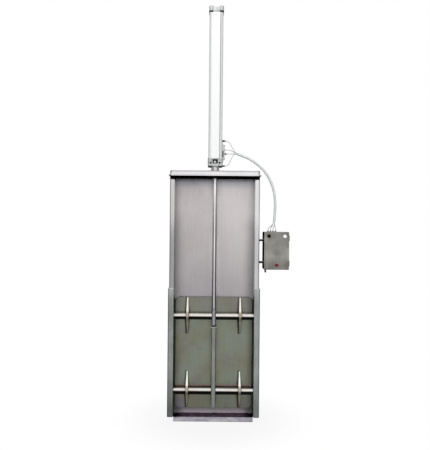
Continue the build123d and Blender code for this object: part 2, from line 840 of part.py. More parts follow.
# Hoses: each route is a list of points, rounded at every corner as wide as the runs allow
def hose(name, radius, points):
    corners = [Vector(*point) for point in points]
    runs = [after - before for before, after in zip(corners, corners[1:])]
    bends = []
    for before, after in zip(runs, runs[1:]):
        half_turn = radians(before.get_angle(after)) / 2
        bends.append(0.45 * min(before.length, after.length) / tan(half_turn))
    with BuildPart() as tube:
        with BuildLine() as route:
            FilletPolyline(*corners, radius=bends)
        with BuildSketch(Plane(origin=corners[0], z_dir=runs[0])):
            Circle(radius)
        sweep(path=route.wires()[0])
    save(tube.part, name)
    print(name, "smallest bend", round(min(bends), 1), "length", round(route.wires()[0].length, 1))


hose(
    "hose_sleeve",
    sleeve_radius,
    (
        (182, -66, 2061),
        (242, -66, 2041),
        (312, -69, 2004),
        (386, -72, 1943),
        (438, -75, 1872),
        (473, -78, 1786),
        (487.5, -80.5, 1692),
        (486, -82, 1596),
        (479.5, -82, 1518),
    ),
)
hose(
    "valve_line_1",
    line_radius,
    (
        (line_end_1[1], rod_y, line_end_1[2]),
        (98, rod_y, line_end_1[2]),
        (115, -65, 2152),
        (130, -67, 2127),
        (145, -69, 2099),
        (162.3, -70, 2071.9),
        (183.3, -70, 2064.9),
    ),
)
hose(
    "valve_line_2",
    line_radius,
    (
        (line_end_2[1], rod_y, line_end_2[2]),
        (106, rod_y, line_end_2[2]),
        (134, -63, 2088),
        (162.3, -62, 2071.9),
        (183.3, -62, 2064.9),
    ),
)
hose(
    "valve_line_3",
    line_radius,
    (
        (line_end_3[1], rod_y, line_end_3[2]),
        (110, rod_y, line_end_3[2]),
        (136, -67.5, 2064.5),
        (159.7, -70, 2064.1),
        (180.7, -70, 2057.1),
    ),
)
hose(
    "valve_line_4",
    line_radius,
    (
        (line_end_4[1], rod_y, line_end_4[2]),
        (93, rod_y, line_end_4[2]),
        (109, -64, 1977),
        (121, -63.5, 2001),
        (132, -63, 2028),
        (143, -62.5, 2051),
        (159.7, -62, 2064.1),
        (180.7, -62, 2057.1),
    ),
)
hose(
    "box_line_1",
    line_radius,
    (
        (474.7, -86.1, 1518.4),
        (473.7, -86.1, 1506.4),
        (465.2, -85.2, 1491.6),
        (440.5, -83, 1471.8),
        (gland_xs[0], gland_y, 1457),
        (gland_xs[0], gland_y, box_top + 2 * gland_half),
    ),
)
hose(
    "box_line_2",
    line_radius,
    (
        (474.7, -77.9, 1518.4),
        (473.7, -77.9, 1506.4),
        (467.5, -79, 1491),
        (456, -81, 1472),
        (gland_xs[1], gland_y, 1457),
        (gland_xs[1], gland_y, box_top + 2 * gland_half),
    ),
)
hose(
    "box_line_3",
    line_radius,
    (
        (484.3, -86.1, 1517.6),
        (483.3, -86.1, 1505.6),
        (480.5, -85.5, 1490),
        (474, -83, 1472),
        (gland_xs[2], gland_y, 1457),
        (gland_xs[2], gland_y, box_top + 2 * gland_half),
    ),
)
hose(
    "box_line_4",
    line_radius,
    (
        (484.3, -77.9, 1517.6),
        (483.3, -77.9, 1505.6),
        (484.5, -79, 1490),
        (489, -81, 1472),
        (gland_xs[3], gland_y, 1457),
        (gland_xs[3], gland_y, box_top + 2 * gland_half),
    ),
)
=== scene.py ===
import math

import bpy
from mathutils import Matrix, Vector


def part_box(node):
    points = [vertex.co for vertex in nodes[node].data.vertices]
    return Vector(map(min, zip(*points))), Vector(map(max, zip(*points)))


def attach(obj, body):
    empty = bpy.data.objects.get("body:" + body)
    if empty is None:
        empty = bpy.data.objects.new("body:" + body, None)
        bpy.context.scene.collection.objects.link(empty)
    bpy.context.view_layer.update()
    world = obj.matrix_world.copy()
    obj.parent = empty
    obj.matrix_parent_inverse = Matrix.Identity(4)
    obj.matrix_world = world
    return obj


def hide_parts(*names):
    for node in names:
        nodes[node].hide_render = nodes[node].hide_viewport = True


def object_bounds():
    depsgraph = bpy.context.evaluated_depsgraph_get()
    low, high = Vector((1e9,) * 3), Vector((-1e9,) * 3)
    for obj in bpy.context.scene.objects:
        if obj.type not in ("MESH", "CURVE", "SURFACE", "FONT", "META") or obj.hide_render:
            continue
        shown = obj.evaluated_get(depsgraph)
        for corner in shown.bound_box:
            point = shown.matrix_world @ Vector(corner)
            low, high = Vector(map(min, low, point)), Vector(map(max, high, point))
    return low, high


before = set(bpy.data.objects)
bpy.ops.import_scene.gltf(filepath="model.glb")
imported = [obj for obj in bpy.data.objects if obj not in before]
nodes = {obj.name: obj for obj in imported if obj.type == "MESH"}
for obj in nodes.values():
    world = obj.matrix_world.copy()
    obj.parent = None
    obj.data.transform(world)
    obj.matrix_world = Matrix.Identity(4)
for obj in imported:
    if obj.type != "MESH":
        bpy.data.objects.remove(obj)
cad_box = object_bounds()

# Studio. The camera looks level from near mid-height, 4.5 m in front of the guide channels, and is
# rolled by half a degree as in the photograph. Its frame takes in 3.6 m of height there.
channel_front_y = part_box("left_upright")[0].y
view_distance = 4.5
view_height = 3.6
eye_height = 1.486
eye_offset = 0.003
camera_roll = math.radians(-0.52)
sensor = 36.0


def placed(name, data):
    """A new object in the scene."""
    made = bpy.data.objects.new(name, data)
    bpy.context.scene.collection.objects.link(made)
    return made


camera_data = bpy.data.cameras.new("studio_camera")
camera_data.sensor_width = sensor
camera_data.lens = sensor * view_distance / view_height
camera = placed("studio_camera", camera_data)
camera.location = (eye_offset, channel_front_y - view_distance, eye_height)
camera.rotation_euler = (math.radians(90), camera_roll, 0)
bpy.context.scene.camera = camera
bpy.context.scene.view_settings.view_transform = "Standard"


def linear(red, green, blue):
    """A colour read from 0 to 255, as the linear colour that a shader takes."""
    steps = [value / 255 for value in (red, green, blue)]
    return (*[s / 12.92 if s <= 0.04045 else ((s + 0.055) / 1.055) ** 2.4 for s in steps], 1.0)


class Wire:
    """A socket of a node tree. Python's operators on it add Math nodes."""

    def __init__(self, tree, socket):
        self.tree = tree
        self.socket = socket

    def node(self, kind, settings, inputs, output=0):
        """Adds a node with its settings, then its inputs' values or links, and returns an output."""
        made = self.tree.nodes.new(kind)
        for name, value in settings.items():
            setattr(made, name, value)
        for key, value in inputs.items():
            if isinstance(value, Wire):
                self.tree.links.new(value.socket, made.inputs[key])
            else:
                made.inputs[key].default_value = value
        return Wire(self.tree, made.outputs[output])

    def output(self, name):
        """Another output of the node that this wire comes from."""
        return Wire(self.tree, self.socket.node.outputs[name])

    def math(self, operation, first, second, clamp=False):
        settings = {"operation": operation, "use_clamp": clamp}
        return self.node("ShaderNodeMath", settings, {0: first, 1: second})

    def __add__(self, other):
        return self.math("ADD", self, other)

    __radd__ = __add__

    def __sub__(self, other):
        return self.math("SUBTRACT", self, other)

    def __rsub__(self, other):
        return self.math("SUBTRACT", other, self)

    def __mul__(self, other):
        return self.math("MULTIPLY", self, other)

    __rmul__ = __mul__

    def __truediv__(self, other):
        return self.math("DIVIDE", self, other)

    def __abs__(self):
        return self.math("ABSOLUTE", self, 0.0)

    def clamped(self):
        return self.math("ADD", self, 0.0, clamp=True)

    def parts(self):
        """The X, Y and Z parts of a vector."""
        split = self.node("ShaderNodeSeparateXYZ", {}, {0: self})
        return [split.output(axis) for axis in "XYZ"]

    def ramp(self, low, high):
        """0 below low, 1 above high and a smooth step between."""
        settings = {"interpolation_type": "SMOOTHSTEP"}
        return self.node("ShaderNodeMapRange", settings, {0: self, 1: low, 2: high, 3: 0.0, 4: 1.0})

    def fade(self, low, high):
        """1 below low, 0 above high and a smooth step between."""
        return 1 - self.ramp(low, high)

    def between(self, low, full, fading, high):
        """0 below low, 1 from full to fading and 0 again above high."""
        return self.ramp(low, full) * self.fade(fading, high)

    def noise(self, scale, detail=3.0, stretch=(1, 1, 1)):
        """Noise from 0 to 1 on this vector, stretched along its axes."""
        mapped = self.node("ShaderNodeMapping", {}, {0: self, 3: stretch})
        return mapped.node(
            "ShaderNodeTexNoise", {}, {"Vector": mapped, "Scale": scale, "Detail": detail}, "Fac"
        )

    def mix(self, low, high):
        """A colour between two, wires or colours from 0 to 255, with this as the share of high."""
        low, high = [end if isinstance(end, Wire) else linear(*end) for end in (low, high)]
        return self.node("ShaderNodeMix", {"data_type": "RGBA"}, {0: self, 6: low, 7: high}, 2)

    def scaled(self, amount):
        """This colour made darker or lighter by an amount."""
        return self.node("ShaderNodeVectorMath", {"operation": "SCALE"}, {0: self, 3: amount})

    def bump(self, strength, distance):
        return self.node(
            "ShaderNodeBump", {}, {"Strength": strength, "Distance": distance, "Height": self}, "Normal"
        )


def blank_finish(name):
    """A new material, its shader and its object coordinates."""
    material = bpy.data.materials.new(name)
    material.use_nodes = True
    tree = material.node_tree
    shader = tree.nodes["Principled BSDF"]
    place = Wire(tree, tree.nodes.new("ShaderNodeTexCoord").outputs["Object"])
    return material, shader, place


def feed(shader, **inputs):
    """Links wires to a shader's sockets, or sets plain values on them."""
    for name, value in inputs.items():
        socket = shader.inputs[name.replace("_", " ")]
        if isinstance(value, Wire):
            value.tree.links.new(value.socket, socket)
        else:
            socket.default_value = value


# The backdrop is white to the eye. In mirror-like metal it is darker overhead, below the horizon
# and at both sides, where black flags stand. A soft sky and three large lamps light the gate.
sky_low = 0.08
sky_high = 0.5
sky_span = (-0.5, 0.7)
floor_mirror = 0.06
floor_span = (-0.85, -0.1)
flag_mirror = 0.26
flag_span = (0.32, 0.75)
ceiling_mirror = 0.8
ceiling_span = (0.35, 0.85)
world = bpy.data.worlds.new("studio_sky")
bpy.context.scene.world = world
world.use_nodes = True
sky = world.node_tree
sky.nodes.clear()
rays = sky.nodes.new("ShaderNodeLightPath")
seen = Wire(sky, rays.outputs["Is Camera Ray"])
mirrored = Wire(sky, rays.outputs["Is Glossy Ray"])
through = Wire(sky, rays.outputs["Is Transmission Ray"])
direction = Wire(sky, sky.nodes.new("ShaderNodeTexCoord").outputs["Generated"])
toward_x, _, toward_z = direction.parts()
mirror_level = floor_mirror + (1 - floor_mirror) * toward_z.ramp(*floor_span)
mirror_level = mirror_level * (1 - (1 - flag_mirror) * abs(toward_x).ramp(*flag_span))
mirror_level = mirror_level * (1 - (1 - ceiling_mirror) * toward_z.ramp(*ceiling_span))
soft_level = sky_low + (sky_high - sky_low) * toward_z.ramp(*sky_span)
level = (seen + through).clamped() + mirrored * mirror_level
level = level + (1 - (seen + through + mirrored).clamped()) * soft_level
background = level.node("ShaderNodeBackground", {}, {"Color": (1, 1, 1, 1), "Strength": level})
sky_out = sky.nodes.new("ShaderNodeOutputWorld")
sky.links.new(background.socket, sky_out.inputs["Surface"])


def lamp(name, place, target, size, power):
    data = bpy.data.lights.new(name, "AREA")
    data.shape = "DISK"
    data.size = size
    data.energy = power
    made = placed(name, data)
    made.location = place
    made.rotation_euler = (Vector(target) - Vector(place)).to_track_quat("-Z", "Y").to_euler()
    made.visible_glossy = False


lamp("key_lamp", place=(-1.2, -4.6, 6.4), target=(0, 0, 1.0), size=3.2, power=300)
lamp("fill_lamp", place=(3.4, -5.0, 2.0), target=(0, 0, 1.0), size=3.0, power=110)
lamp("back_lamp", place=(0.5, 3.5, 3.6), target=(0, 0, 1.4), size=2.6, power=90)

floor_gap = 0.001
floor_reach = 9.0
floor_grey = 0.3
floor_white = 0.9
shadow_span = (0.35, 0.9)
floor_z = cad_box[0].z - floor_gap
floor_corners = [(-1, -1), (1, -1), (1, 1), (-1, 1)]
floor_mesh = bpy.data.meshes.new("floor")
floor_mesh.from_pydata(
    [(x * floor_reach, y * floor_reach, floor_z) for x, y in floor_corners], [], [(0, 1, 2, 3)]
)
floor = placed("floor", floor_mesh)
floor_finish, floor_shader, floor_place = blank_finish("floor_white")
feed(floor_shader, Base_Color=(floor_grey, floor_grey, floor_grey, 1), Roughness=0.9)
floor_tree = floor_finish.node_tree
floor_rays = floor_tree.nodes.new("ShaderNodeLightPath")
eye_ray = Wire(floor_tree, floor_rays.outputs["Is Camera Ray"])
white = eye_ray.node("ShaderNodeEmission", {}, {"Color": (1, 1, 1, 1), "Strength": 1.0})
lit = Wire(floor_tree, floor_shader.outputs["BSDF"])
far_off = floor_place.node("ShaderNodeVectorMath", {"operation": "LENGTH"}, {0: floor_place}, "Value")
whiteness = eye_ray * (floor_white + (1 - floor_white) * far_off.ramp(*shadow_span))
surface = lit.node("ShaderNodeMixShader", {}, {0: whiteness, 1: lit, 2: white})
floor_tree.links.new(surface.socket, floor_tree.nodes["Material Output"].inputs["Surface"])
floor_mesh.materials.append(floor_finish)
floor.visible_glossy = False

# Back plate. One 8 mm stainless sheet stands flat against the wall behind all the rest, with the
# water opening cut through its lower half. It keeps the mill's soft finish, a darker lilac lower
# down. Painted light makes its right half brighter than its left. Painted shade lies in the gaps
# beside the leaf, along its sides by the uprights and under the bridge. Painted light brightens the
# strip behind the rod. The foot strip is painted dark under the leaf and at its ends, and light
# near the floor.
plate_left = (203, 197, 197)
plate_right = (223, 218, 217)
plate_low = (180, 175, 179)
foot_painted_shade = (155, 149, 154)
foot_painted_light = (250, 244, 249)
left_bridge_shade = (170, 170, 178)
right_bridge_shade = (196, 195, 201)
plate_warm = (222, 211, 202)
leaf_gap_shade = (90, 94, 86)
edge_span = (0.22, 0.31)
gap_shade_span = (0.3, 0.312)
foot_span = (-0.055, -0.014)
low_span = (0.0, 0.06)
rise_span = (0.7, 1.5)
lift_span = (1.3, 1.65)
edge_end = (1.45, 1.62)
under_bridge_span = (1.77, 1.85)
top_shadow = (1.835, 1.855)
rod_strip = (0.012, 0.058)
strip_start = (-0.02, 0.08)
strip_dim = (1.3, 1.5)
strip_end = (1.68, 1.8)
skin = (0.002, 0.004)
plate_box_low, plate_box_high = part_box("back_plate")
leaf_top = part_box("gate_leaf")[1].z
upright_grain = (220, 220, 5)


def brush(shader, place, colour, grain, rough, contrast=0.1):
    """Feeds a shader brushed stainless steel: fine lines along the grain, clouds and small marks."""
    lines = place.noise(1.0, 2.0, grain).ramp(0.3, 0.7)
    clouds = place.noise(3.4, 4.0).ramp(0.3, 0.7)
    marks = place.noise(42.0).ramp(0.58, 0.76)
    depth = lines * 0.5 + clouds * 0.5
    feed(shader, Base_Color=colour.scaled(1 - contrast + depth * (2 * contrast)))
    feed(shader, Roughness=rough + (clouds - 0.5) * 0.12 + marks * 0.1, Metallic=0.88)
    feed(shader, Normal=lines.bump(0.12, 0.0002))


def dressed(name, *parts):
    """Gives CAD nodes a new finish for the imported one; returns its shader and its coordinates."""
    material, shader, place = blank_finish(name)
    for part in parts:
        nodes[part].data.materials.clear()
        nodes[part].data.materials.append(material)
    return shader, place


plate_shader, plate_place = dressed("plate_steel", "back_plate")
plate_x, plate_y, plate_z = plate_place.parts()
plate_across = plate_x.ramp(-plate_box_high.x, plate_box_high.x)
plate_edge = abs(plate_x).ramp(*edge_span)
# Painted light: the right half of the sheet is brighter than the left.
plate_face = plate_across.mix(plate_left, plate_right).scaled(0.94 + 0.1 * plate_z.ramp(*lift_span))
# Painted shade on the foot strip under the leaf and at its ends, painted light near the floor.
plate_foot = plate_z.ramp(*foot_span).mix(foot_painted_light, foot_painted_shade).scaled(1 - 0.45 * plate_edge)
plate_lower = plate_z.ramp(*low_span).mix(plate_foot, plate_low)
plate_colour = plate_z.ramp(*rise_span).mix(plate_lower, plate_face)
edge_shade = plate_edge * plate_z.fade(*edge_end) * (0.13 + 0.13 * plate_across)
plate_haze = plate_place.noise(1.7, 2.0).ramp(0.5, 0.75) * (1 - plate_edge) * 0.4
plate_colour = plate_haze.mix(plate_colour.scaled(1 - edge_shade), plate_warm)
# Painted shade in the gaps beside the leaf's edges.
beside_leaf = abs(plate_x).ramp(*gap_shade_span) * plate_z.between(-0.01, 0.01, leaf_top - 0.03, leaf_top)
plate_colour = beside_leaf.mix(plate_colour, leaf_gap_shade)
# Painted shade under the bridge, deepest just below it.
under_bridge_shade = plate_across.mix(left_bridge_shade, right_bridge_shade)
under_bridge_shade = under_bridge_shade.scaled(1 - 0.35 * plate_z.ramp(*top_shadow))
plate_colour = plate_z.ramp(*under_bridge_span).mix(plate_colour, under_bridge_shade)
# Painted light brightens the strip behind the rod.
behind_rod = abs(plate_x).fade(*rod_strip) * (plate_z - leaf_top).ramp(*strip_start)
rod_glow = 0.36 - 0.18 * plate_z.ramp(*strip_dim) - 0.18 * plate_z.ramp(*strip_end)
plate_colour = plate_colour.scaled(1 + rod_glow * behind_rod)
plate_back = (plate_y - plate_box_low.y).ramp(*skin)
plate_colour = plate_back.mix(plate_colour, plate_face)
brush(plate_shader, plate_place, plate_colour, upright_grain, rough=0.46, contrast=0.07)

# Opening seal. A black rubber ring is glued to the plate round the water opening. The leaf
# closes over it, so it shows only when the gate is up.
seal_black = (20, 21, 21)
seal_bloom = (38, 38, 37)


def rubber(name, part, black, bloom, dark_ends=0.0):
    """Matt rubber with fine pores and a pale bloom in patches. A long strip can have dark ends."""
    shader, place = dressed(name, part)
    dust = place.noise(30.0, 4.0).ramp(0.45, 0.75)
    pores = place.noise(700.0, 2.0)
    # Painted shade at the ends of a long strip.
    end_shade = dark_ends * abs(place.parts()[0]).ramp(*edge_span)
    feed(shader, Base_Color=dust.mix(black, bloom).scaled(1 - end_shade), Specular_IOR_Level=0.0)
    feed(shader, Roughness=0.7 + dust * 0.2, Normal=pores.bump(0.25, 0.0004))


rubber("seal_rubber", "opening_seal", seal_black, seal_bloom)

# Uprights. Two channels folded from 5 mm sheet, open towards the leaf, guide it from sill to
# bridge. Their fronts are bright, with the sheet's long streaks. Painted light makes the right one
# brighter than the left, and painted shade darkens their lower parts and their outer folds. Painted
# shade darkens the grooves up to the closed leaf's top, and a painted shadow blackens their heads
# under the packing.
upright_left = (220, 217, 217)
upright_left_low = (176, 175, 176)
upright_right = (238, 237, 239)
upright_right_low = (214, 213, 215)
left_to_right = (-0.3, 0.3)
upright_rise = (1.34, 1.6)
upright_dull = 0.9
upright_fold = (0.351, 0.3545)
bend_shade = 0.3
groove_side = (0.3552, 0.3556)
groove_depth = (0.004, 0.006)
groove_shade_reach = (-0.02, 0.03)
groove_shade_colour = (60, 63, 56)
packing_shadow_colour = (8, 8, 8)
packing_shadow_span = (-0.016, -0.011)
upright_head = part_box("left_upright")[1].z
upright_shader, upright_place = dressed("upright_steel", "left_upright", "right_upright")
upright_x, upright_y, upright_z = upright_place.parts()
upright_across = upright_x.ramp(*left_to_right)
upright_streak = upright_place.noise(2.2, 2.0, (9, 9, 1)).ramp(0.35, 0.65)
# Painted light: the right upright is brighter than the left; painted shade darkens both lower down.
upright_upper = upright_across.mix(upright_left, upright_right)
upright_lower = upright_across.mix(upright_left_low, upright_right_low)
upright_colour = upright_z.ramp(*upright_rise).mix(upright_lower, upright_upper)
upright_colour = upright_colour.scaled(1 - bend_shade * abs(upright_x).ramp(*upright_fold))
upright_colour = upright_colour.scaled(upright_dull + (1 - upright_dull) * upright_streak)
# Painted shade in the grooves beside the closed leaf.
in_groove = (upright_y - channel_front_y).ramp(*groove_depth)
in_groove = in_groove * abs(upright_x).fade(*groove_side)
in_groove = in_groove * (upright_z - leaf_top).fade(*groove_shade_reach)
upright_colour = in_groove.mix(upright_colour, groove_shade_colour)
# Painted shadow under the packing on the uprights' heads.
under_packing = (upright_z - upright_head).ramp(*packing_shadow_span)
upright_colour = under_packing.mix(upright_colour, packing_shadow_colour)
brush(upright_shader, upright_place, upright_colour, upright_grain, rough=0.38)

# Guide angles. An 8 mm angle is welded over the lower half of each upright, where the leaf
# presses hardest. Acid has cleaned its welds and left the steel a mottled green grey. Painted light
# makes it paler at its top, with a painted highlight on its top bevel, and painted shade darkens it
# towards the floor and along its outer fold.
angle_green = (150, 156, 151)
angle_grey = (180, 184, 182)
angle_top_light = (206, 208, 211)
angle_bevel_highlight = (240, 241, 242)
angle_foot_left = 0.48
angle_foot_right = 0.64
angle_foot_span = (-0.05, 0.4)
angle_light_span = (0.87, 0.99)
angle_fold = (0.359, 0.3635)
angle_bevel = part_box("left_guide_angle")[1].z - 0.004
angle_shader, angle_place = dressed("angle_steel", "left_guide_angle", "right_guide_angle")
angle_x, _, angle_z = angle_place.parts()
angle_across = angle_x.ramp(*left_to_right)
angle_mottle = angle_place.noise(14.0, 4.0, (1, 1, 0.5)).ramp(0.35, 0.65)
angle_colour = (angle_mottle * 0.5 + angle_across * 0.5).mix(angle_green, angle_grey)
# Painted light makes the angle paler at its top.
angle_colour = (angle_z.ramp(*angle_light_span) * 0.6).mix(angle_colour, angle_top_light)
angle_foot = angle_foot_left + (angle_foot_right - angle_foot_left) * angle_across
# Painted shade darkens the angle towards the floor.
angle_colour = angle_colour.scaled(angle_foot + (1 - angle_foot) * angle_z.ramp(*angle_foot_span))
angle_colour = angle_colour.scaled(1 - bend_shade * abs(angle_x).ramp(*angle_fold))
# Painted highlight on the top bevel.
angle_colour = angle_z.ramp(angle_bevel - 0.001, angle_bevel).mix(angle_colour, angle_bevel_highlight)
brush(angle_shader, angle_place, angle_colour, upright_grain, rough=0.5)

# Sill. A trough folded from 6 mm sheet runs under the plate, with painted shade at the left end of
# its front lip. A strip of dark rubber lies in it and takes up an uneven floor; painted shade
# darkens the strip's ends.
sill_lavender = (186, 182, 196)
sill_pale = (226, 220, 226)
lip_shade_strength = 0.9
rim_span = (-0.006, -0.004)
front_lip = (0.01, 0.02)
lip_shade_end = (-0.33, -0.22)
across_grain = (5, 220, 220)
sill_low, sill_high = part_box("sill")
sill_shader, sill_place = dressed("sill_steel", "sill")
sill_x, sill_y, sill_z = sill_place.parts()
sill_patch = sill_place.noise(9.0, 3.0, (1, 2, 2)).ramp(0.4, 0.7)
# Painted shade at the left end of the front lip.
sill_lip = (sill_z - sill_high.z).ramp(*rim_span) * sill_x.fade(*lip_shade_end)
sill_lip = sill_lip * (sill_y - sill_low.y).fade(*front_lip)
sill_colour = sill_patch.mix(sill_lavender, sill_pale).scaled(1 - lip_shade_strength * sill_lip)
brush(sill_shader, sill_place, sill_colour, across_grain, rough=0.5)
# Painted shade at the cushion's ends.
rubber("cushion_rubber", "sill_cushion", (62, 48, 62), (86, 72, 86), dark_ends=0.95)

# Bridge. A folded beam of bright sheet carries the cylinder, with painted shade along its upper
# edge. It is welded to a base plate, which sits on a thick strip of black rubber across the tops of
# the uprights. Painted shade blackens the base plate's ends.
beam_white = (240, 238, 242)
beam_bright = (252, 251, 253)
beam_edge_shade = 0.34
beam_shade_span = (-0.014, -0.01)
base_end_shade = 0.92
base_shade_span = (0.35, 0.356)
base_top = (-0.001, 0.001)
beam_low, beam_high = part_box("bridge_beam")
beam_shader, beam_place = dressed("beam_steel", "bridge_beam", "bridge_base")
beam_x, _, beam_z = beam_place.parts()
beam_patch = beam_place.noise(6.0, 3.0, (1, 3, 3)).ramp(0.35, 0.65)
# Painted shade along the beam's upper edge.
beam_upper = (beam_z - beam_high.z).ramp(*beam_shade_span)
beam_colour = beam_patch.mix(beam_white, beam_bright).scaled(1 - beam_edge_shade * beam_upper)
# Painted shade on the base plate's ends.
base_end = abs(beam_x).ramp(*base_shade_span) * (beam_z - beam_low.z).fade(*base_top)
beam_colour = beam_colour.scaled(1 - base_end_shade * base_end)
brush(beam_shader, beam_place, beam_colour, across_grain, rough=0.42, contrast=0.04)
rubber("packing_rubber", "bridge_packing", (1, 1, 1), (4, 4, 4))

# Frame welds. Rows of overlapping drops where the angles, the beam, the cylinder's neck and the
# box's flat bars are welded on, left as laid and pickled pale again.
bead_radius = 0.0034
bead_pitch = 0.0042
stitch_length = 0.06
stitch_step = 0.17
angle_weld_front = 0.009
angle_weld_back_y = -0.004
stitch_low = 0.05
stitch_high = 0.02
beam_cut = 0.012
bar_half = 0.007
bar_inset = 0.003


def new_tree(name, inputs):
    """An empty Geometry Nodes tree with named number inputs; returns it and its wires by name."""
    tree = bpy.data.node_groups.new(name, "GeometryNodeTree")
    tree.interface.new_socket("Geometry", in_out="INPUT", socket_type="NodeSocketGeometry")
    tree.interface.new_socket("Geometry", in_out="OUTPUT", socket_type="NodeSocketGeometry")
    for label in inputs:
        tree.interface.new_socket(label, in_out="INPUT", socket_type="NodeSocketFloat")
    entry = tree.nodes.new("NodeGroupInput")
    return tree, {socket.name: Wire(tree, socket) for socket in entry.outputs if socket.name}


def close_tree(geometry, material):
    """Ends a tree: instances made real, the finish set, the result sent out."""
    real = geometry.node("GeometryNodeRealizeInstances", {}, {0: geometry})
    painted = real.node("GeometryNodeSetMaterial", {}, {0: real, "Material": material})
    leave = painted.tree.nodes.new("NodeGroupOutput")
    painted.tree.links.new(painted.socket, leave.inputs[0])


def meshed(start):
    """A plain mesh of an object as it stands after its modifiers."""
    bpy.context.view_layer.update()
    evaluated = start.evaluated_get(bpy.context.evaluated_depsgraph_get())
    return bpy.data.meshes.new_from_object(evaluated)


def grown(name, start, tree, values, body):
    """The plain mesh that a tree grows from a start object, riding on a body."""
    modifier = start.modifiers.new("grow", "NODES")
    modifier.node_group = tree
    for item in tree.interface.items_tree:
        if item.in_out == "INPUT" and item.name in values:
            modifier[item.identifier] = values[item.name]
    mesh = meshed(start)
    mesh.name = name
    start.modifiers.remove(modifier)
    bpy.data.objects.remove(start)
    made = placed(name, mesh)
    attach(made, body)
    return made


def curve(name, runs, kind="POLY"):
    """A curve with one spline for each run of points, of straight steps unless the kind is given."""
    data = bpy.data.curves.new(name, "CURVE")
    data.dimensions = "3D"
    for run in runs:
        spline = data.splines.new(kind)
        spline.points.add(len(run) - 1)
        for control, point in zip(spline.points, run):
            control.co = (*point, 1)
    return placed(name, data)


def ring_run(centre, radius, axis, steps=28):
    """A closed run of weld round an axis, 0 for X or 2 for Z."""
    run = []
    for step in range(steps + 1):
        turn = 2 * math.pi * step / steps
        first, second = radius * math.cos(turn), radius * math.sin(turn)
        offset = (0, first, second) if axis == 0 else (first, second, 0)
        run.append(Vector(centre) + Vector(offset))
    return run


def stitches(low, high):
    """Start and end of each short weld along a long seam."""
    count = int((high - low - stitch_length) / stitch_step)
    starts = [low + step * stitch_step for step in range(count + 1)]
    return [(start, start + stitch_length) for start in starts]


def weld_steel(name, straw, grey):
    """Weld metal in the colours that the heat has left."""
    material, shader, place = blank_finish(name)
    heat = place.noise(60.0).ramp(0.35, 0.65)
    feed(shader, Base_Color=heat.mix(straw, grey), Metallic=0.9)
    feed(shader, Roughness=0.3 + heat * 0.15, Normal=place.noise(900.0, 2.0).bump(0.2, 0.0003))
    return material


def bead_tree(name, finish):
    """A tree that lays a row of weld drops along each line of a curve."""
    tree, wires = new_tree(name, ["Radius", "Pitch"])
    points = wires["Geometry"].node(
        "GeometryNodeCurveToPoints", {"mode": "LENGTH"}, {0: wires["Geometry"], "Length": wires["Pitch"]}
    )
    drop_shape = {"Segments": 8, "Rings": 4, "Radius": wires["Radius"]}
    drop = points.node("GeometryNodeMeshUVSphere", {}, drop_shape)
    size = points.node("FunctionNodeRandomValue", {"data_type": "FLOAT"}, {2: 0.85, 3: 1.1, 8: 4}, 1)
    rows = points.node(
        "GeometryNodeInstanceOnPoints",
        {},
        {"Points": points, "Instance": drop, "Rotation": points.output("Rotation"), "Scale": size},
    )
    close_tree(rows, finish)
    return tree


frame_runs = []
for side, sign in (("left", -1), ("right", 1)):
    upright_low, upright_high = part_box(f"{side}_upright")
    angle_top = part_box(f"{side}_guide_angle")[1].z
    web_x = max(abs(upright_low.x), abs(upright_high.x)) * sign
    weld_front_y = channel_front_y + angle_weld_front
    frame_runs.append([(web_x, weld_front_y, angle_top), (web_x, angle_weld_back_y, angle_top)])
    for low, high in stitches(angle_top + stitch_low, upright_high.z - stitch_high):
        frame_runs.append([(web_x, upright_high.y, low), (web_x, upright_high.y, high)])
beam_corner = (beam_low.x + beam_cut, beam_low.y)
front_and_right = [
    beam_corner,
    (beam_high.x - beam_cut, beam_low.y),
    (beam_high.x, beam_low.y + beam_cut),
    (beam_high.x, beam_high.y - beam_cut),
]
beam_left = [beam_corner, (beam_low.x, beam_low.y + beam_cut), (beam_low.x, beam_high.y - beam_cut)]
for seam in (front_and_right, beam_left):
    frame_runs.append([(x, y, beam_low.z) for x, y in seam])
neck_low, neck_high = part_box("cylinder_neck")
neck_centre = ((neck_low.x + neck_high.x) / 2, (neck_low.y + neck_high.y) / 2, neck_low.z)
frame_runs.append(ring_run(neck_centre, (neck_high.x - neck_low.x) / 2, axis=2))
bar_low, bar_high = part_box("box_brackets")
for height in (bar_low.z + bar_half, bar_high.z - bar_half):
    for edge in (height - bar_half, height + bar_half):
        for end in (bar_low.x, bar_high.x):
            frame_runs.append([(end, bar_low.y + bar_inset, edge), (end, bar_high.y - bar_inset, edge)])
frame_welds = grown(
    "frame_welds",
    curve("frame_weld_lines", frame_runs),
    bead_tree("frame_weld_bead", weld_steel("pickled_weld", (206, 200, 188), (226, 226, 228))),
    {"Radius": bead_radius, "Pitch": bead_pitch},
    "frame",
)

# Cylinder. A barrel of drawn aluminium with sensor slots stands on a steel neck between two cast
# caps. It is anodised, near white and silky, and the rod comes out through its foot. Painted shade
# lies in the sensor slots, darker on the right.
barrel_pale = (250, 250, 250)
barrel_shade = (240, 242, 242)
slot_shade_left = (244, 245, 245)
slot_shade_right = (178, 180, 180)
slot_place = 0.035
slot_sides = (0.004, 0.0043)
slot_mouth = (0.0552, 0.0556)
barrel_shader, barrel_place = dressed("barrel_aluminium", "cylinder_barrel")
barrel_x, barrel_y, _ = barrel_place.parts()
barrel_lines = barrel_place.noise(1.0, 2.0, (420, 420, 2)).ramp(0.3, 0.7)
barrel_cloud = barrel_place.noise(5.0)
barrel_colour = (barrel_lines * 0.6 + barrel_cloud * 0.4).mix(barrel_shade, barrel_pale)
barrel_across = abs(barrel_x)
barrel_deep = abs(barrel_y - neck_centre[1])
front_slot = abs(barrel_across - slot_place).fade(*slot_sides) * barrel_deep.fade(*slot_mouth)
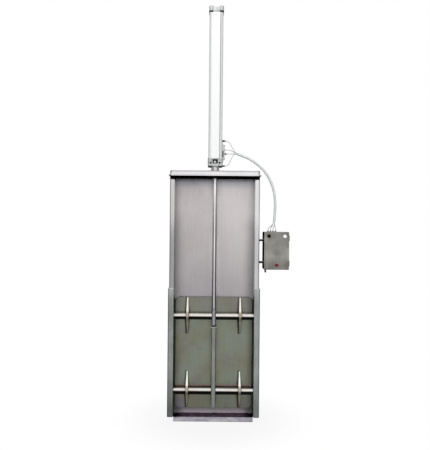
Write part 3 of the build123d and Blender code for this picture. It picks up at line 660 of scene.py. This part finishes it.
side_slot = abs(barrel_deep - slot_place).fade(*slot_sides) * barrel_across.fade(*slot_mouth)
# Painted shade in the sensor slots, darker on the right.
slot_shade_tone = barrel_x.ramp(-0.02, 0.02).mix(slot_shade_left, slot_shade_right)
feed(
    barrel_shader,
    Base_Color=(front_slot + side_slot).clamped().mix(barrel_colour, slot_shade_tone),
    Metallic=0.42,
    Roughness=0.34 + (barrel_cloud - 0.5) * 0.15,
    Normal=barrel_lines.bump(0.05, 0.0002),
)

cap_pale = (222, 224, 223)
cap_grey = (194, 197, 197)
cap_shade_black = (6, 6, 7)
rear_cap_lift = 0.16
rear_cap_span = (2.4, 2.8)
seam_shade = 0.45
front_cap_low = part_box("cylinder_front_cap")[0]
rear_cap_low, rear_cap_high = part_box("cylinder_rear_cap")
pocket_wide = (0.0215, 0.022)
pocket_high = (0.0185, 0.019)
pocket_rise = 0.042
pocket_depth = (0.0085, 0.0095)
hole_x = 0.037
hole_rise = 0.03
hole_rim = (0.0071, 0.0074)
hole_depth = (-0.09, -0.085)
spigot_height = 0.009
boss_shadow = (-0.029, -0.019, 0.0003, 0.0008)
boss_seam = (-0.006, -0.004, 0.003, 0.005)
foot_shadow = (0.005, 0.008)
boss_low = rear_cap_low.z + spigot_height
cap_shader, cap_place = dressed("cap_aluminium", "cylinder_front_cap", "cylinder_rear_cap")
cap_x, cap_y, cap_z = cap_place.parts()
cap_cast = cap_place.noise(55.0, 4.0).ramp(0.3, 0.7)
cap_pits = cap_place.noise(420.0)
cap_colour = cap_cast.mix(cap_grey, cap_pale)
# Painted light makes the rear cap brighter.
cap_colour = cap_colour.scaled(1 + rear_cap_lift * cap_z.ramp(*rear_cap_span))
cap_rise = cap_z - front_cap_low.z
boss_rise = cap_z - boss_low
# Painted shade: pocket, screw holes, under the rear bosses and the front cap's corners.
in_pocket = abs(cap_x).fade(*pocket_wide) * abs(cap_rise - pocket_rise).fade(*pocket_high)
in_pocket = in_pocket * (cap_y - front_cap_low.y).ramp(*pocket_depth)
hole_offset = {0: abs(cap_x) - hole_x, 1: 0.0, 2: cap_rise - hole_rise}
from_hole = cap_place.node("ShaderNodeCombineXYZ", {}, hole_offset)
from_hole = from_hole.node("ShaderNodeVectorMath", {"operation": "LENGTH"}, {0: from_hole}, "Value")
in_hole = from_hole.fade(*hole_rim) * cap_y.fade(*hole_depth)
under_boss = boss_rise.between(*boss_shadow) * abs(cap_x).ramp(0.016, 0.034)
under_cap = cap_rise.fade(*foot_shadow) * abs(cap_x).ramp(0.01, 0.03) * 0.8
cap_shade_mask = (in_pocket + in_hole + under_boss + under_cap).clamped()
# A band of painted shade at the rear cap's seam.
rear_seam = boss_rise.between(*boss_seam)
feed(
    cap_shader,
    Base_Color=cap_shade_mask.mix(cap_colour.scaled(1 - seam_shade * rear_seam), cap_shade_black),
    Metallic=0.6 - cap_shade_mask * 0.6,
    Specular_IOR_Level=0.0,
    Roughness=0.42 + cap_cast * 0.12,
    Normal=cap_pits.bump(0.18, 0.0004),
)

neck_shader, neck_place = dressed("neck_steel", "cylinder_neck", "port_plug")
neck_rings = neck_place.noise(1.0, 2.0, (5, 5, 900)).ramp(0.3, 0.7)
feed(
    neck_shader,
    Base_Color=neck_rings.mix((238, 231, 231), (252, 248, 247)),
    Metallic=0.95,
    Roughness=0.4 + neck_rings * 0.1,
    Normal=neck_rings.bump(0.1, 0.0002),
)

# Valve. A small block sits on the barrel's right face, held by four socket screws like those of the
# rear cap, and the lines leave from push-in fittings on it and on the barrel's ends.
coil_grey = (92, 94, 96)
coil_z = 2.058
coil_half = (0.024, 0.028)
coil_end = (0.066, 0.068)
pale_fitting = (2.08, 2.082, 2.11, 2.112)
valve_shader, valve_place = dressed("valve_metal", "valve_block")
valve_x, _, valve_z = valve_place.parts()
valve_cast = valve_place.noise(80.0).ramp(0.3, 0.7)
valve_coil = abs(valve_z - coil_z).fade(*coil_half) * valve_x.fade(*coil_end)
valve_tone = valve_cast.mix((196, 199, 201), (222, 224, 225))
feed(
    valve_shader,
    Base_Color=valve_coil.mix(valve_tone, coil_grey),
    Metallic=0.5,
    Roughness=0.42 + valve_cast * 0.12,
    Normal=valve_place.noise(600.0, 2.0).bump(0.12, 0.0003),
)

fitting_shader, fitting_place = dressed("fitting_plastic", "line_fittings")
fitting_pale = fitting_place.parts()[2].between(*pale_fitting)
fitting_grain = fitting_place.noise(300.0)
fitting_dark = fitting_grain.mix((24, 25, 27), (52, 53, 55))
feed(
    fitting_shader,
    Base_Color=fitting_pale.mix(fitting_dark, (206, 208, 208)),
    Roughness=0.4 + fitting_grain * 0.15,
    Normal=fitting_grain.bump(0.1, 0.0003),
)

screw_finish, screw_shader, screw_place = blank_finish("screw_steel")
screw_scuff = screw_place.noise(240.0).ramp(0.35, 0.65)
feed(
    screw_shader,
    Base_Color=screw_scuff.mix((120, 121, 124), (176, 177, 178)),
    Metallic=0.95,
    Roughness=0.28 + screw_scuff * 0.16,
)

screw_tree, screw_in = new_tree("socket_screw", ["Head", "Height", "Key", "Turn"])
screw_head, screw_key = [
    screw_in["Geometry"].node(
        "GeometryNodeMeshCylinder",
        {},
        {"Vertices": sides, "Radius": screw_in[radius], "Depth": screw_in["Height"]},
    )
    for sides, radius in ((20, "Head"), (6, "Key"))
]
key_lift = screw_key.node("ShaderNodeCombineXYZ", {}, {2: screw_in["Height"] * 0.45})
screw_key = screw_key.node("GeometryNodeTransform", {}, {0: screw_key, "Translation": key_lift})
screw_cut = {"operation": "DIFFERENCE", "solver": "EXACT"}
screw_body = screw_head.node("GeometryNodeMeshBoolean", screw_cut, {0: screw_head, 1: screw_key})
screw_turn = screw_body.node("ShaderNodeCombineXYZ", {}, {1: screw_in["Turn"]})
screw_turned = screw_body.node("GeometryNodeTransform", {}, {0: screw_body, "Rotation": screw_turn})
screw_row = screw_turned.node(
    "GeometryNodeInstanceOnPoints", {}, {"Points": screw_in["Geometry"], "Instance": screw_turned}
)
close_tree(screw_row, screw_finish)


def screws(name, points, sizes, body):
    """Socket screws at some points, riding on a body."""
    mesh = bpy.data.meshes.new(f"{name}_points")
    mesh.from_pydata(points, [], [])
    made = grown(name, placed(mesh.name, mesh), screw_tree, sizes, body)


facing_right = math.pi / 2
valve_low, valve_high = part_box("valve_block")
valve_mid_y = (valve_low.y + valve_high.y) / 2
valve_points = [
    (valve_high.x + 0.0005, valve_mid_y + y, z)
    for y in (-0.011, 0.011)
    for z in (valve_low.z + 0.035, valve_high.z - 0.021)
]
valve_screw = {"Head": 0.0035, "Height": 0.004, "Key": 0.0018, "Turn": facing_right}
screws("valve_screws", valve_points, valve_screw, "frame")
boss_place = 0.041
well_depth = 0.012
well_floor = rear_cap_high.z - well_depth
cap_screw = {"Head": 0.0078, "Height": 0.009, "Key": 0.0042, "Turn": 0.0}
cap_points = [
    (x, neck_centre[1] + y, well_floor + cap_screw["Height"] / 2)
    for x in (-boss_place, boss_place)
    for y in (-boss_place, boss_place)
]
screws("cap_screws", cap_points, cap_screw, "frame")

# Control box. A folded steel case hangs on two flat bars welded to the right-hand upright. Painted
# shade blackens its left flank, its rim carries a rubber gasket, and hose glands stand on its top.
case_shade_black = (4, 4, 4)
case_shade_grey = (22, 22, 22)
case_grey = (112, 111, 107)
case_pale = (128, 127, 123)
case_low, case_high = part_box("control_box")
flank_span = (0.0015, 0.006)
case_shader, case_place = dressed("case_steel", "control_box")
case_cloud = case_place.noise(9.0, 4.0).ramp(0.35, 0.65)
# Painted shade blackens the case's left flank.
case_flank = (case_place.parts()[0] - case_low.x).fade(*flank_span)
case_flank_shade = case_cloud.mix(case_shade_black, case_shade_grey)
case_colour = case_flank.mix(case_cloud.mix(case_grey, case_pale), case_flank_shade)
brush(case_shader, case_place, case_colour, upright_grain, rough=0.5)
feed(case_shader, Metallic=0.88 - case_flank * 0.88, Specular_IOR_Level=0.0)

bar_shader, bar_place = dressed("bar_steel", "box_brackets")
bar_patch = bar_place.noise(20.0).ramp(0.35, 0.65)
brush(bar_shader, bar_place, bar_patch.mix((10, 10, 10), (22, 22, 22)), across_grain, rough=0.6)
rubber("gasket_rubber", "door_gasket", (16, 16, 16), (30, 30, 30))


def worn_metal(name, parts, dark, pale, metallic, rough, scale=160.0, spread=0.15, relief=0.08):
    """Bare metal in two tones, with the paler patches rougher and slightly raised."""
    shader, place = dressed(name, *parts)
    wear = place.noise(scale).ramp(0.35, 0.65)
    feed(shader, Base_Color=wear.mix(dark, pale), Metallic=metallic)
    feed(shader, Roughness=rough + wear * spread, Normal=wear.bump(relief, 0.0003))


gland_parts = ["box_glands", "case_hinges", "door_hinges"]
worn_metal("gland_metal", gland_parts, (132, 132, 130), (186, 186, 184), metallic=0.9, rough=0.3)
worn_metal("inlet_metal", ["box_inlet"], (58, 58, 57), (98, 98, 96), metallic=0.85, rough=0.36)

# Box door. A pan of brushed steel hinged at the right, with a black selector at its upper left, a
# white lamp at its upper right and a red push button near its foot, each through its own hole.
# Painted shade darkens it towards its foot and at its head, and blackens its left rim.
door_dark = (145, 143, 138)
door_pale = (168, 166, 160)
door_foot = 0.72
door_foot_span = (1.16, 1.25)
door_head_shade = 0.14
door_head_span = (1.38, 1.42)
door_edge_span = (0.0015, 0.0035)
door_grain = (90, 220, 7)
door_shader, door_place = dressed("door_steel", "box_door")
door_x, _, door_z = door_place.parts()
door_smudge = door_place.noise(11.0, 4.0).ramp(0.35, 0.65)
# Painted shade blackens the door's left rim.
door_flank = (door_x - case_low.x).fade(*door_edge_span)
door_colour = door_smudge.mix(door_dark, door_pale)
# Painted shade towards the door's foot and at its head.
door_colour = door_colour.scaled(door_foot + (1 - door_foot) * door_z.ramp(*door_foot_span))
door_colour = door_colour.scaled(1 - door_head_shade * door_z.ramp(*door_head_span))
door_colour = door_flank.mix(door_colour, case_shade_black)
brush(door_shader, door_place, door_colour, door_grain, rough=0.44, contrast=0.14)
feed(door_shader, Metallic=0.88 - door_flank * 0.88, Specular_IOR_Level=0.0)


def moulded(name, parts, colour, worn, rough, shine=0.5):
    """Moulded plastic with a fine spark texture and scuffed patches."""
    shader, place = dressed(name, *parts)
    scuff = place.noise(120.0, 4.0).ramp(0.5, 0.8)
    spark = place.noise(1600.0, 2.0)
    feed(shader, Base_Color=scuff.mix(colour, worn), Specular_IOR_Level=shine)
    feed(shader, Roughness=rough + scuff * 0.2, Normal=spark.bump(0.12, 0.0002))


for name, part, colour, worn, rough, shine in (
    ("collar_plastic", "selector_collar", (8, 8, 8), (26, 26, 26), 0.4, 0.15),
    ("stop_collar_plastic", "stop_collar", (196, 140, 150), (150, 110, 118), 0.38, 0.5),
    ("knob_plastic", "selector_knob", (5, 5, 5), (22, 22, 22), 0.36, 0.15),
    ("stop_plastic", "stop_button", (104, 16, 32), (76, 12, 24), 0.3, 0.3),
    ("lamp_plastic", "door_lamp", (246, 247, 248), (226, 228, 230), 0.2, 0.5),
):
    moulded(name, [part], colour, worn, rough, shine)

hinge_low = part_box("case_hinges")[0]
door_hinge_low, door_hinge_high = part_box("door_hinges")
hinge_face_x = case_high.x + 0.0019
hinge_heights = (door_hinge_low.z + 0.01, door_hinge_high.z - 0.01)
hinge_screw = {"Head": 0.0026, "Height": 0.0022, "Key": 0.0012, "Turn": facing_right}


def hinge_points(across, lift):
    """Two points on the leaf of each hinge, a lift above and below its middle."""
    return [(hinge_face_x, across, height + way * lift) for height in hinge_heights for way in (-1, 1)]


screws("case_hinge_screws", hinge_points(hinge_low.y + 0.0155, 0.016), hinge_screw, "frame")
screws("door_hinge_screws", hinge_points(door_hinge_low.y + 0.005, 0.005), hinge_screw, "door")

# Hoses. Four soft air lines leave the valve, run together in a ribbed plastic sleeve and
# part again to the glands on top of the box. They hang free between their two ends.
line_diameter = 0.006
sleeve_diameter = 0.022
rib_pitch = 0.0046
rib_depth = 0.0011
sleeve_route = [
    (0.182, -0.066, 2.061), (0.242, -0.066, 2.041), (0.312, -0.069, 2.004),
    (0.386, -0.072, 1.943), (0.438, -0.075, 1.872), (0.473, -0.078, 1.786),
    (0.4875, -0.0805, 1.692), (0.486, -0.082, 1.596), (0.4795, -0.082, 1.518),
]
# The length of each line and the points that steer its route.
line_routes = {
    "valve_line_1": (0.152, [
        (0.082, -0.064, 2.166), (0.098, -0.064, 2.166), (0.115, -0.065, 2.152),
        (0.13, -0.067, 2.127), (0.145, -0.069, 2.099), (0.1623, -0.07, 2.0719),
        (0.1833, -0.07, 2.0649),
    ]),
    "valve_line_2": (0.103, [
        (0.086, -0.064, 2.095), (0.106, -0.064, 2.095), (0.134, -0.063, 2.088),
        (0.1623, -0.062, 2.0719), (0.1833, -0.062, 2.0649),
    ]),
    "valve_line_3": (0.092, [
        (0.09, -0.064, 2.061), (0.11, -0.064, 2.061), (0.136, -0.0675, 2.0645),
        (0.1597, -0.07, 2.0641), (0.1807, -0.07, 2.0571),
    ]),
    "valve_line_4": (0.158, [
        (0.078, -0.064, 1.964), (0.093, -0.064, 1.964), (0.109, -0.064, 1.977),
        (0.121, -0.0635, 2.001), (0.132, -0.063, 2.028), (0.143, -0.0625, 2.051),
        (0.1597, -0.062, 2.0641), (0.1807, -0.062, 2.0571),
    ]),
    "box_line_1": (0.09, [
        (0.4747, -0.0861, 1.5184), (0.4737, -0.0861, 1.5064), (0.4652, -0.0852, 1.4916),
        (0.4405, -0.083, 1.4718), (0.431, -0.082, 1.457), (0.431, -0.082, 1.445),
    ]),
    "box_line_2": (0.0785, [
        (0.4747, -0.0779, 1.5184), (0.4737, -0.0779, 1.5064), (0.4675, -0.079, 1.491),
        (0.456, -0.081, 1.472), (0.451, -0.082, 1.457), (0.451, -0.082, 1.445),
    ]),
    "box_line_3": (0.0745, [
        (0.4843, -0.0861, 1.5176), (0.4833, -0.0861, 1.5056), (0.4805, -0.0855, 1.49),
        (0.474, -0.083, 1.472), (0.471, -0.082, 1.457), (0.471, -0.082, 1.445),
    ]),
    "box_line_4": (0.0735, [
        (0.4843, -0.0779, 1.5176), (0.4833, -0.0779, 1.5056), (0.4845, -0.079, 1.49),
        (0.489, -0.081, 1.472), (0.491, -0.082, 1.457), (0.491, -0.082, 1.445),
    ]),
}


def route_curve(name, points, steps):
    """A smooth curve whose control points are the route's points."""
    made = curve(name, [points], "NURBS")
    made.data.resolution_u = steps
    spline = made.data.splines[0]
    spline.order_u = 3
    spline.use_endpoint_u = True
    return made


def hose_plastic(name, pale, shade, rough):
    """Soft plastic with a slightly milky colour and handling marks."""
    material, shader, place = blank_finish(name)
    cloud = place.noise(26.0, 4.0)
    fine = place.noise(700.0, 2.0)
    colour = (cloud * 0.7 + fine * 0.3).mix(shade, pale)
    feed(shader, Base_Color=colour, Roughness=rough + (cloud - 0.5) * 0.2)
    feed(shader, Normal=fine.bump(0.08, 0.0004))
    return material


line_finish = hose_plastic("line_plastic", (206, 207, 208), (160, 162, 164), rough=0.42)
for name, (length, points) in line_routes.items():
    line = route_curve(f"{name}_tube", points, 10)
    line.data.bevel_depth = line_diameter / 2
    line.data.bevel_resolution = 5
    line.data.use_fill_caps = True
    line.data.materials.append(line_finish)
    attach(line, "frame")
    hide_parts(name)

sleeve_finish = hose_plastic("sleeve_plastic", (232, 233, 234), (190, 193, 196), rough=0.38)
rib_tree, rib_in = new_tree("ribbed_sleeve", ["Radius", "Pitch", "Depth"])
rib_line = rib_in["Geometry"].node(
    "GeometryNodeResampleCurve", {"mode": "LENGTH"}, {0: rib_in["Geometry"], 3: rib_in["Pitch"] / 6}
)
along = rib_line.node("GeometryNodeSplineParameter", {}, {}, "Length")
wave = along.math("SINE", along / rib_in["Pitch"] * (2 * math.pi), 0.0)
thick = rib_in["Radius"] - rib_in["Depth"] * (0.5 - wave * 0.5)
rib_line = rib_line.node("GeometryNodeSetCurveRadius", {}, {0: rib_line, 2: thick})
ring = rib_line.node("GeometryNodeCurvePrimitiveCircle", {}, {0: 20, 4: 1.0})
tube_shape = {0: rib_line, 1: ring, "Scale": thick, "Fill Caps": True}
tube = rib_line.node("GeometryNodeCurveToMesh", {}, tube_shape)
close_tree(tube, sleeve_finish)

sleeve_line = route_curve("sleeve_line", sleeve_route, 16)
sleeve_path = [tuple(vertex.co) for vertex in meshed(sleeve_line).vertices]
sleeve = grown(
    "ribbed_sleeve",
    sleeve_line,
    rib_tree,
    {"Radius": sleeve_diameter / 2, "Pitch": rib_pitch, "Depth": rib_depth},
    "frame",
)
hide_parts("hose_sleeve")

# Leaf. The gate itself is one 8 mm stainless plate with rounded corners, gone a soft olive grey
# with handling, purple grey in its lower left corner. Painted shade darkens it towards its foot
# and along its sides. Its front is brown round the lugs that are welded to it, with painted shadow
# beside them, and painted shadow lines run under the axles. Just above the lower axle run a pale
# pinkish band of painted light and a dark red line of painted reflection.
leaf_olive = (135, 136, 116)
leaf_green = (138, 145, 133)
leaf_mauve = (132, 126, 124)
leaf_lavender = (118, 112, 122)
leaf_brown = (84, 66, 56)
lug_shadow_colour = (30, 26, 19)
axle_shadow_colour = (12, 13, 9)
painted_pink_light = (186, 156, 152)
reflection_red = (24, 6, 8)
leaf_foot = 0.78
leaf_foot_span = (0.02, 0.28)
leaf_head_span = (0.74, 0.8)
leaf_side_span = (0.25, 0.316)
corner_across = (-0.3, -0.19)
corner_rise = (0.04, 0.15)
upper_shadow_line = (0.712, 0.715, 0.724, 0.73)
lower_shadow_line = (0.1, 0.105, 0.12, 0.13)
pink_light_band = (0.1695, 0.1725, 0.176, 0.19)
red_reflection_line = (0.154, 0.158, 0.1695, 0.1725)
leaf_front_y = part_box("gate_leaf")[0].y
lower_axle_low, lower_axle_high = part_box("lower_axle")
upper_axle_low, upper_axle_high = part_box("upper_axle")
lower_axle_z = (lower_axle_low.z + lower_axle_high.z) / 2
upper_axle_z = (upper_axle_low.z + upper_axle_high.z) / 2
axle_radius = (upper_axle_high.z - upper_axle_low.z) / 2
axle_y = (upper_axle_low.y + upper_axle_high.y) / 2
lug_low, lug_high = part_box("upper_lugs")
lug_thick = 0.018
lug_x = lug_high.x - lug_thick / 2
lug_half = (lug_high.z - lug_low.z) / 2


def from_lugs(across):
    """How far a place across the gate is from the middle of a lug."""
    return abs(abs(across) - lug_x)


def above_axles(height):
    """How far a height is above the nearer axle's."""
    rise = height - lower_axle_z
    return rise - (upper_axle_z - lower_axle_z) * rise.ramp(0.22, 0.4)


def from_axles(height):
    """How far a height is, up or down, from the nearer axle's."""
    middle = (lower_axle_z + upper_axle_z) / 2
    return abs(abs(height - middle) - (upper_axle_z - lower_axle_z) / 2)


leaf_shader, leaf_place = dressed("leaf_steel", "gate_leaf")
leaf_x, leaf_y, leaf_z = leaf_place.parts()
leaf_cloud = leaf_place.noise(4.5, 4.0).ramp(0.32, 0.68)
leaf_stain = leaf_place.noise(6.5).ramp(0.52, 0.7)
leaf_tone = (leaf_stain * 0.7).mix(leaf_cloud.mix(leaf_olive, leaf_green), leaf_mauve)
# Painted shade towards the leaf's foot.
leaf_tone = leaf_tone.scaled(leaf_foot + (1 - leaf_foot) * leaf_z.ramp(*leaf_foot_span))
leaf_corner = leaf_x.ramp(*corner_across) + leaf_z.ramp(*corner_rise)
leaf_tone = (1 - leaf_corner.clamped()).mix(leaf_tone, leaf_lavender)
leaf_tone = (leaf_z.ramp(*leaf_head_span) * 0.35).mix(leaf_tone, leaf_mauve)
leaf_side = abs(leaf_x).ramp(*leaf_side_span)
# Painted shade along the leaf's sides, darker on the right.
leaf_rear = leaf_tone.scaled(1 - leaf_side * (0.2 + 0.14 * leaf_x.ramp(-0.1, 0.1)))
axle_gap = from_axles(leaf_z)
leaf_heat = from_lugs(leaf_x).fade(0.006, 0.03) * axle_gap.fade(0.03, 0.075)
leaf_tone = (leaf_heat * 0.8).mix(leaf_rear, leaf_brown)
# Painted shadow beside each lug, shifted to its left and lighter above the axles.
lug_shadow_shift = 0.006 * (leaf_x.ramp(-0.05, 0.05) * 2 - 1)
lug_gap = abs(abs(leaf_x) - lug_x + lug_shadow_shift) + 0.006 * axle_gap.ramp(0.024, lug_half)
lug_shadow_mask = lug_gap.fade(0.014, 0.023) * axle_gap.fade(lug_half, lug_half + 0.01)
lug_shadow_mask = lug_shadow_mask * (0.85 - 0.3 * above_axles(leaf_z).ramp(0.0, 0.05))
leaf_tone = lug_shadow_mask.mix(leaf_tone, lug_shadow_colour)
# Painted shadow lines under the axles.
axle_shadow_lines = leaf_z.between(*upper_shadow_line) + leaf_z.between(*lower_shadow_line)
leaf_tone = axle_shadow_lines.clamped().mix(leaf_tone, axle_shadow_colour)
# Painted light: a pale pinkish band above the lower axle.
leaf_tone = leaf_z.between(*pink_light_band).mix(leaf_tone, painted_pink_light)
# Painted reflection of the lower pipe: a dark red line just above it.
leaf_tone = leaf_z.between(*red_reflection_line).mix(leaf_tone, reflection_red)
leaf_back = (leaf_y - leaf_front_y).ramp(*skin)
brush(leaf_shader, leaf_place, leaf_back.mix(leaf_tone, leaf_rear), upright_grain, rough=0.4)

# Axles. Two polished pipes lie across the leaf, their ends in blocks of dark plastic that slide
# in the channels. The welds at the lugs have left brown rings on them, and painted shade blackens
# their undersides and backs. The lower one is painted darker, with a painted dark reflection along
# its top.
axle_cream = (250, 247, 240)
axle_warm = (244, 234, 228)
axle_shade_black = (14, 14, 10)
weld_brown = (142, 124, 100)
underside_shade_edge = (-0.36, 0.4)
axle_shader, axle_place = dressed("axle_steel", "lower_axle", "upper_axle")
along_axle, behind_axle, axle_height = axle_place.parts()
axle_scratch = axle_place.noise(1.0, 2.0, (6, 500, 500)).ramp(0.3, 0.7)
axle_patch = axle_place.noise(16.0, 3.0, (1, 2, 2)).ramp(0.4, 0.7)
axle_heat = from_lugs(along_axle).fade(0.009, 0.026)
axle_tone = (axle_heat * 0.7).mix(axle_patch.mix(axle_cream, axle_warm), weld_brown)
axle_lower = (axle_height - lower_axle_z).fade(0.1, 0.2)
axle_sink = axle_lower * (0.13 + 0.1 * along_axle.ramp(-0.1, 0.2))
axle_rise = above_axles(axle_height) / axle_radius + axle_sink
# Painted shade on the lower axle, with a painted dark reflection along its top.
axle_tone = axle_tone.scaled(1 - axle_lower * (0.12 + 0.6 * axle_rise.ramp(0.75, 1.0)))
# Painted shade on each pipe's underside and back.
axle_lit_part = axle_rise.ramp(*underside_shade_edge) * (behind_axle - axle_y).fade(0.002, 0.01)
feed(
    axle_shader,
    Base_Color=(1 - axle_lit_part).mix(axle_tone, axle_shade_black),
    Metallic=1.0,
    Roughness=0.16 + axle_scratch * 0.1,
    Normal=axle_scratch.bump(0.06, 0.0002),
)
slide_blocks = ["lower_slide_blocks", "upper_slide_blocks"]
moulded("slide_plastic", slide_blocks, (44, 50, 46), (70, 76, 72), rough=0.45)

# Lugs. Four plates stand on edge on the leaf and hold the axles, ground bright. Painted shade
# turns their lower halves olive, painted light brightens the lower pair, and brown spreads from
# the weld round each pipe.
lug_cream = (255, 254, 242)
lug_dull = (238, 234, 220)
lug_shade_olive = (200, 194, 172)
lug_shade_span = (-0.035, -0.01)
lower_lug_light = 0.18
lower_lug_span = (0.3, 0.5)
lug_shader, lug_place = dressed("lug_steel", "lower_lugs", "upper_lugs")
lug_height = lug_place.parts()[2]
lug_grind = lug_place.noise(1.0, 2.0, (300, 60, 30)).ramp(0.3, 0.7)
lug_heat = from_axles(lug_height).fade(0.022, 0.05)
lug_tone = lug_grind.mix(lug_dull, lug_cream)
# Painted shade turns the lugs' lower halves olive.
lug_tone = above_axles(lug_height).ramp(*lug_shade_span).mix(lug_shade_olive, lug_tone)
# Painted light brightens the lower pair of lugs.
lug_tone = lug_tone.scaled(1 + lower_lug_light * lug_height.fade(*lower_lug_span))
feed(
    lug_shader,
    Base_Color=(lug_heat * 0.75).mix(lug_tone, weld_brown),
    Metallic=0.6,
    Roughness=0.26 + lug_grind * 0.12,
    Normal=lug_grind.bump(0.08, 0.0002),
)

# Stiffener and rod. A box section down the middle of the leaf ends below the rod's forged end,
# through which the upper axle passes. The box section has a painted highlight along its top. The
# rod is hard-chromed and polished. A painted highlight brightens its top, painted shade darkens its
# lower part, and its flanks carry painted shade, darker on the right higher up.
stiffener_low, stiffener_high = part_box("stiffener")
stiffener_shader, stiffener_place = dressed("stiffener_steel", "stiffener")
stiffener_z = stiffener_place.parts()[2]
stiffener_cloud = stiffener_place.noise(12.0, 3.0, (1, 1, 0.4)).ramp(0.35, 0.65)
stiffener_tone = stiffener_cloud.mix((142, 145, 138), (158, 161, 155))
# Painted highlight along the stiffener's top.
stiffener_top_highlight = (stiffener_z - stiffener_high.z).ramp(*rim_span)
stiffener_tone = stiffener_top_highlight.mix(stiffener_tone, (196, 194, 196))
brush(stiffener_shader, stiffener_place, stiffener_tone, upright_grain, rough=0.46)

forged = {"metallic": 0.95, "rough": 0.24, "scale": 90.0, "spread": 0.1, "relief": 0.06}
worn_metal("rod_end_steel", ["rod_end"], (146, 143, 151), (172, 169, 178), **forged)

rod_shade = (214, 213, 216)
rod_chrome = (236, 235, 238)
rod_highlight = (252, 252, 253)
rod_highlight_span = (1.6, 1.8)
rod_haze_span = (1.4, 1.7)
rod_low_span = (0.98, 1.36)
rod_flank = (0.0095, 0.0135)
rod_shader, rod_place = dressed("rod_chrome", "piston_rod")
rod_x, _, rod_z = rod_place.parts()
rod_wipe = rod_place.noise(1.0, 2.0, (160, 160, 3)).ramp(0.35, 0.65)
# Painted highlight brightens the rod near its top.
rod_tone = rod_z.ramp(*rod_highlight_span).mix(rod_wipe.mix(rod_shade, rod_chrome), rod_highlight)
# Painted shade on the rod's lower part, and on its flanks, darker on the right higher up.
rod_low_shade = rod_z.fade(*rod_low_span)
flank_shade = rod_low_shade * 0.7 + (1 - rod_low_shade) * (0.15 + 0.7 * rod_x.ramp(-0.004, 0.004))
flank_shade = flank_shade * abs(rod_x).ramp(*rod_flank)
feed(
    rod_shader,
    Base_Color=rod_tone.scaled((1 - 0.25 * rod_low_shade) * (1 - flank_shade)),
    Metallic=1 - 0.45 * rod_z.ramp(*rod_haze_span),
    Roughness=0.07 + rod_wipe * 0.06,
    Normal=rod_wipe.bump(0.02, 0.0001),
)

# Gate welds. The lugs are welded to the leaf along both flanks and to the pipes all round, and
# the stiffener is stitched to the leaf down both sides and to the lower pipe.
gate_bead_radius = 0.0026
stiffener_half = 0.0175
lug_waist = 0.024
lug_tip = 0.003
gate_runs = []
for height, lug_head in ((lower_axle_z, 0.0035), (upper_axle_z, 0.0045)):
    for middle in (-lug_x, lug_x):
        for flank in (-1, 1):
            face = middle + flank * lug_thick / 2
            gate_runs.append(
                [
                    (middle + flank * lug_tip, leaf_front_y, height - lug_half),
                    (face, leaf_front_y, height - lug_waist),
                    (face, leaf_front_y, height + lug_waist),
                    (middle + flank * lug_head, leaf_front_y, height + lug_half),
                ]
            )
            gate_runs.append(ring_run((face, axle_y, height), axle_radius, axis=0))
for across in (-stiffener_half, stiffener_half):
    for low, high in stitches(stiffener_low.z + 0.02, stiffener_high.z - 0.01):
        gate_runs.append([(across, leaf_front_y, low), (across, leaf_front_y, high)])
    gate_runs.append(ring_run((across, axle_y, lower_axle_z), axle_radius, axis=0))
gate_welds = grown(
    "gate_welds",
    curve("gate_weld_lines", gate_runs),
    bead_tree("gate_weld_bead", weld_steel("burnt_weld", (62, 50, 38), (104, 98, 84))),
    {"Radius": gate_bead_radius, "Pitch": bead_pitch},
    "gate",
)
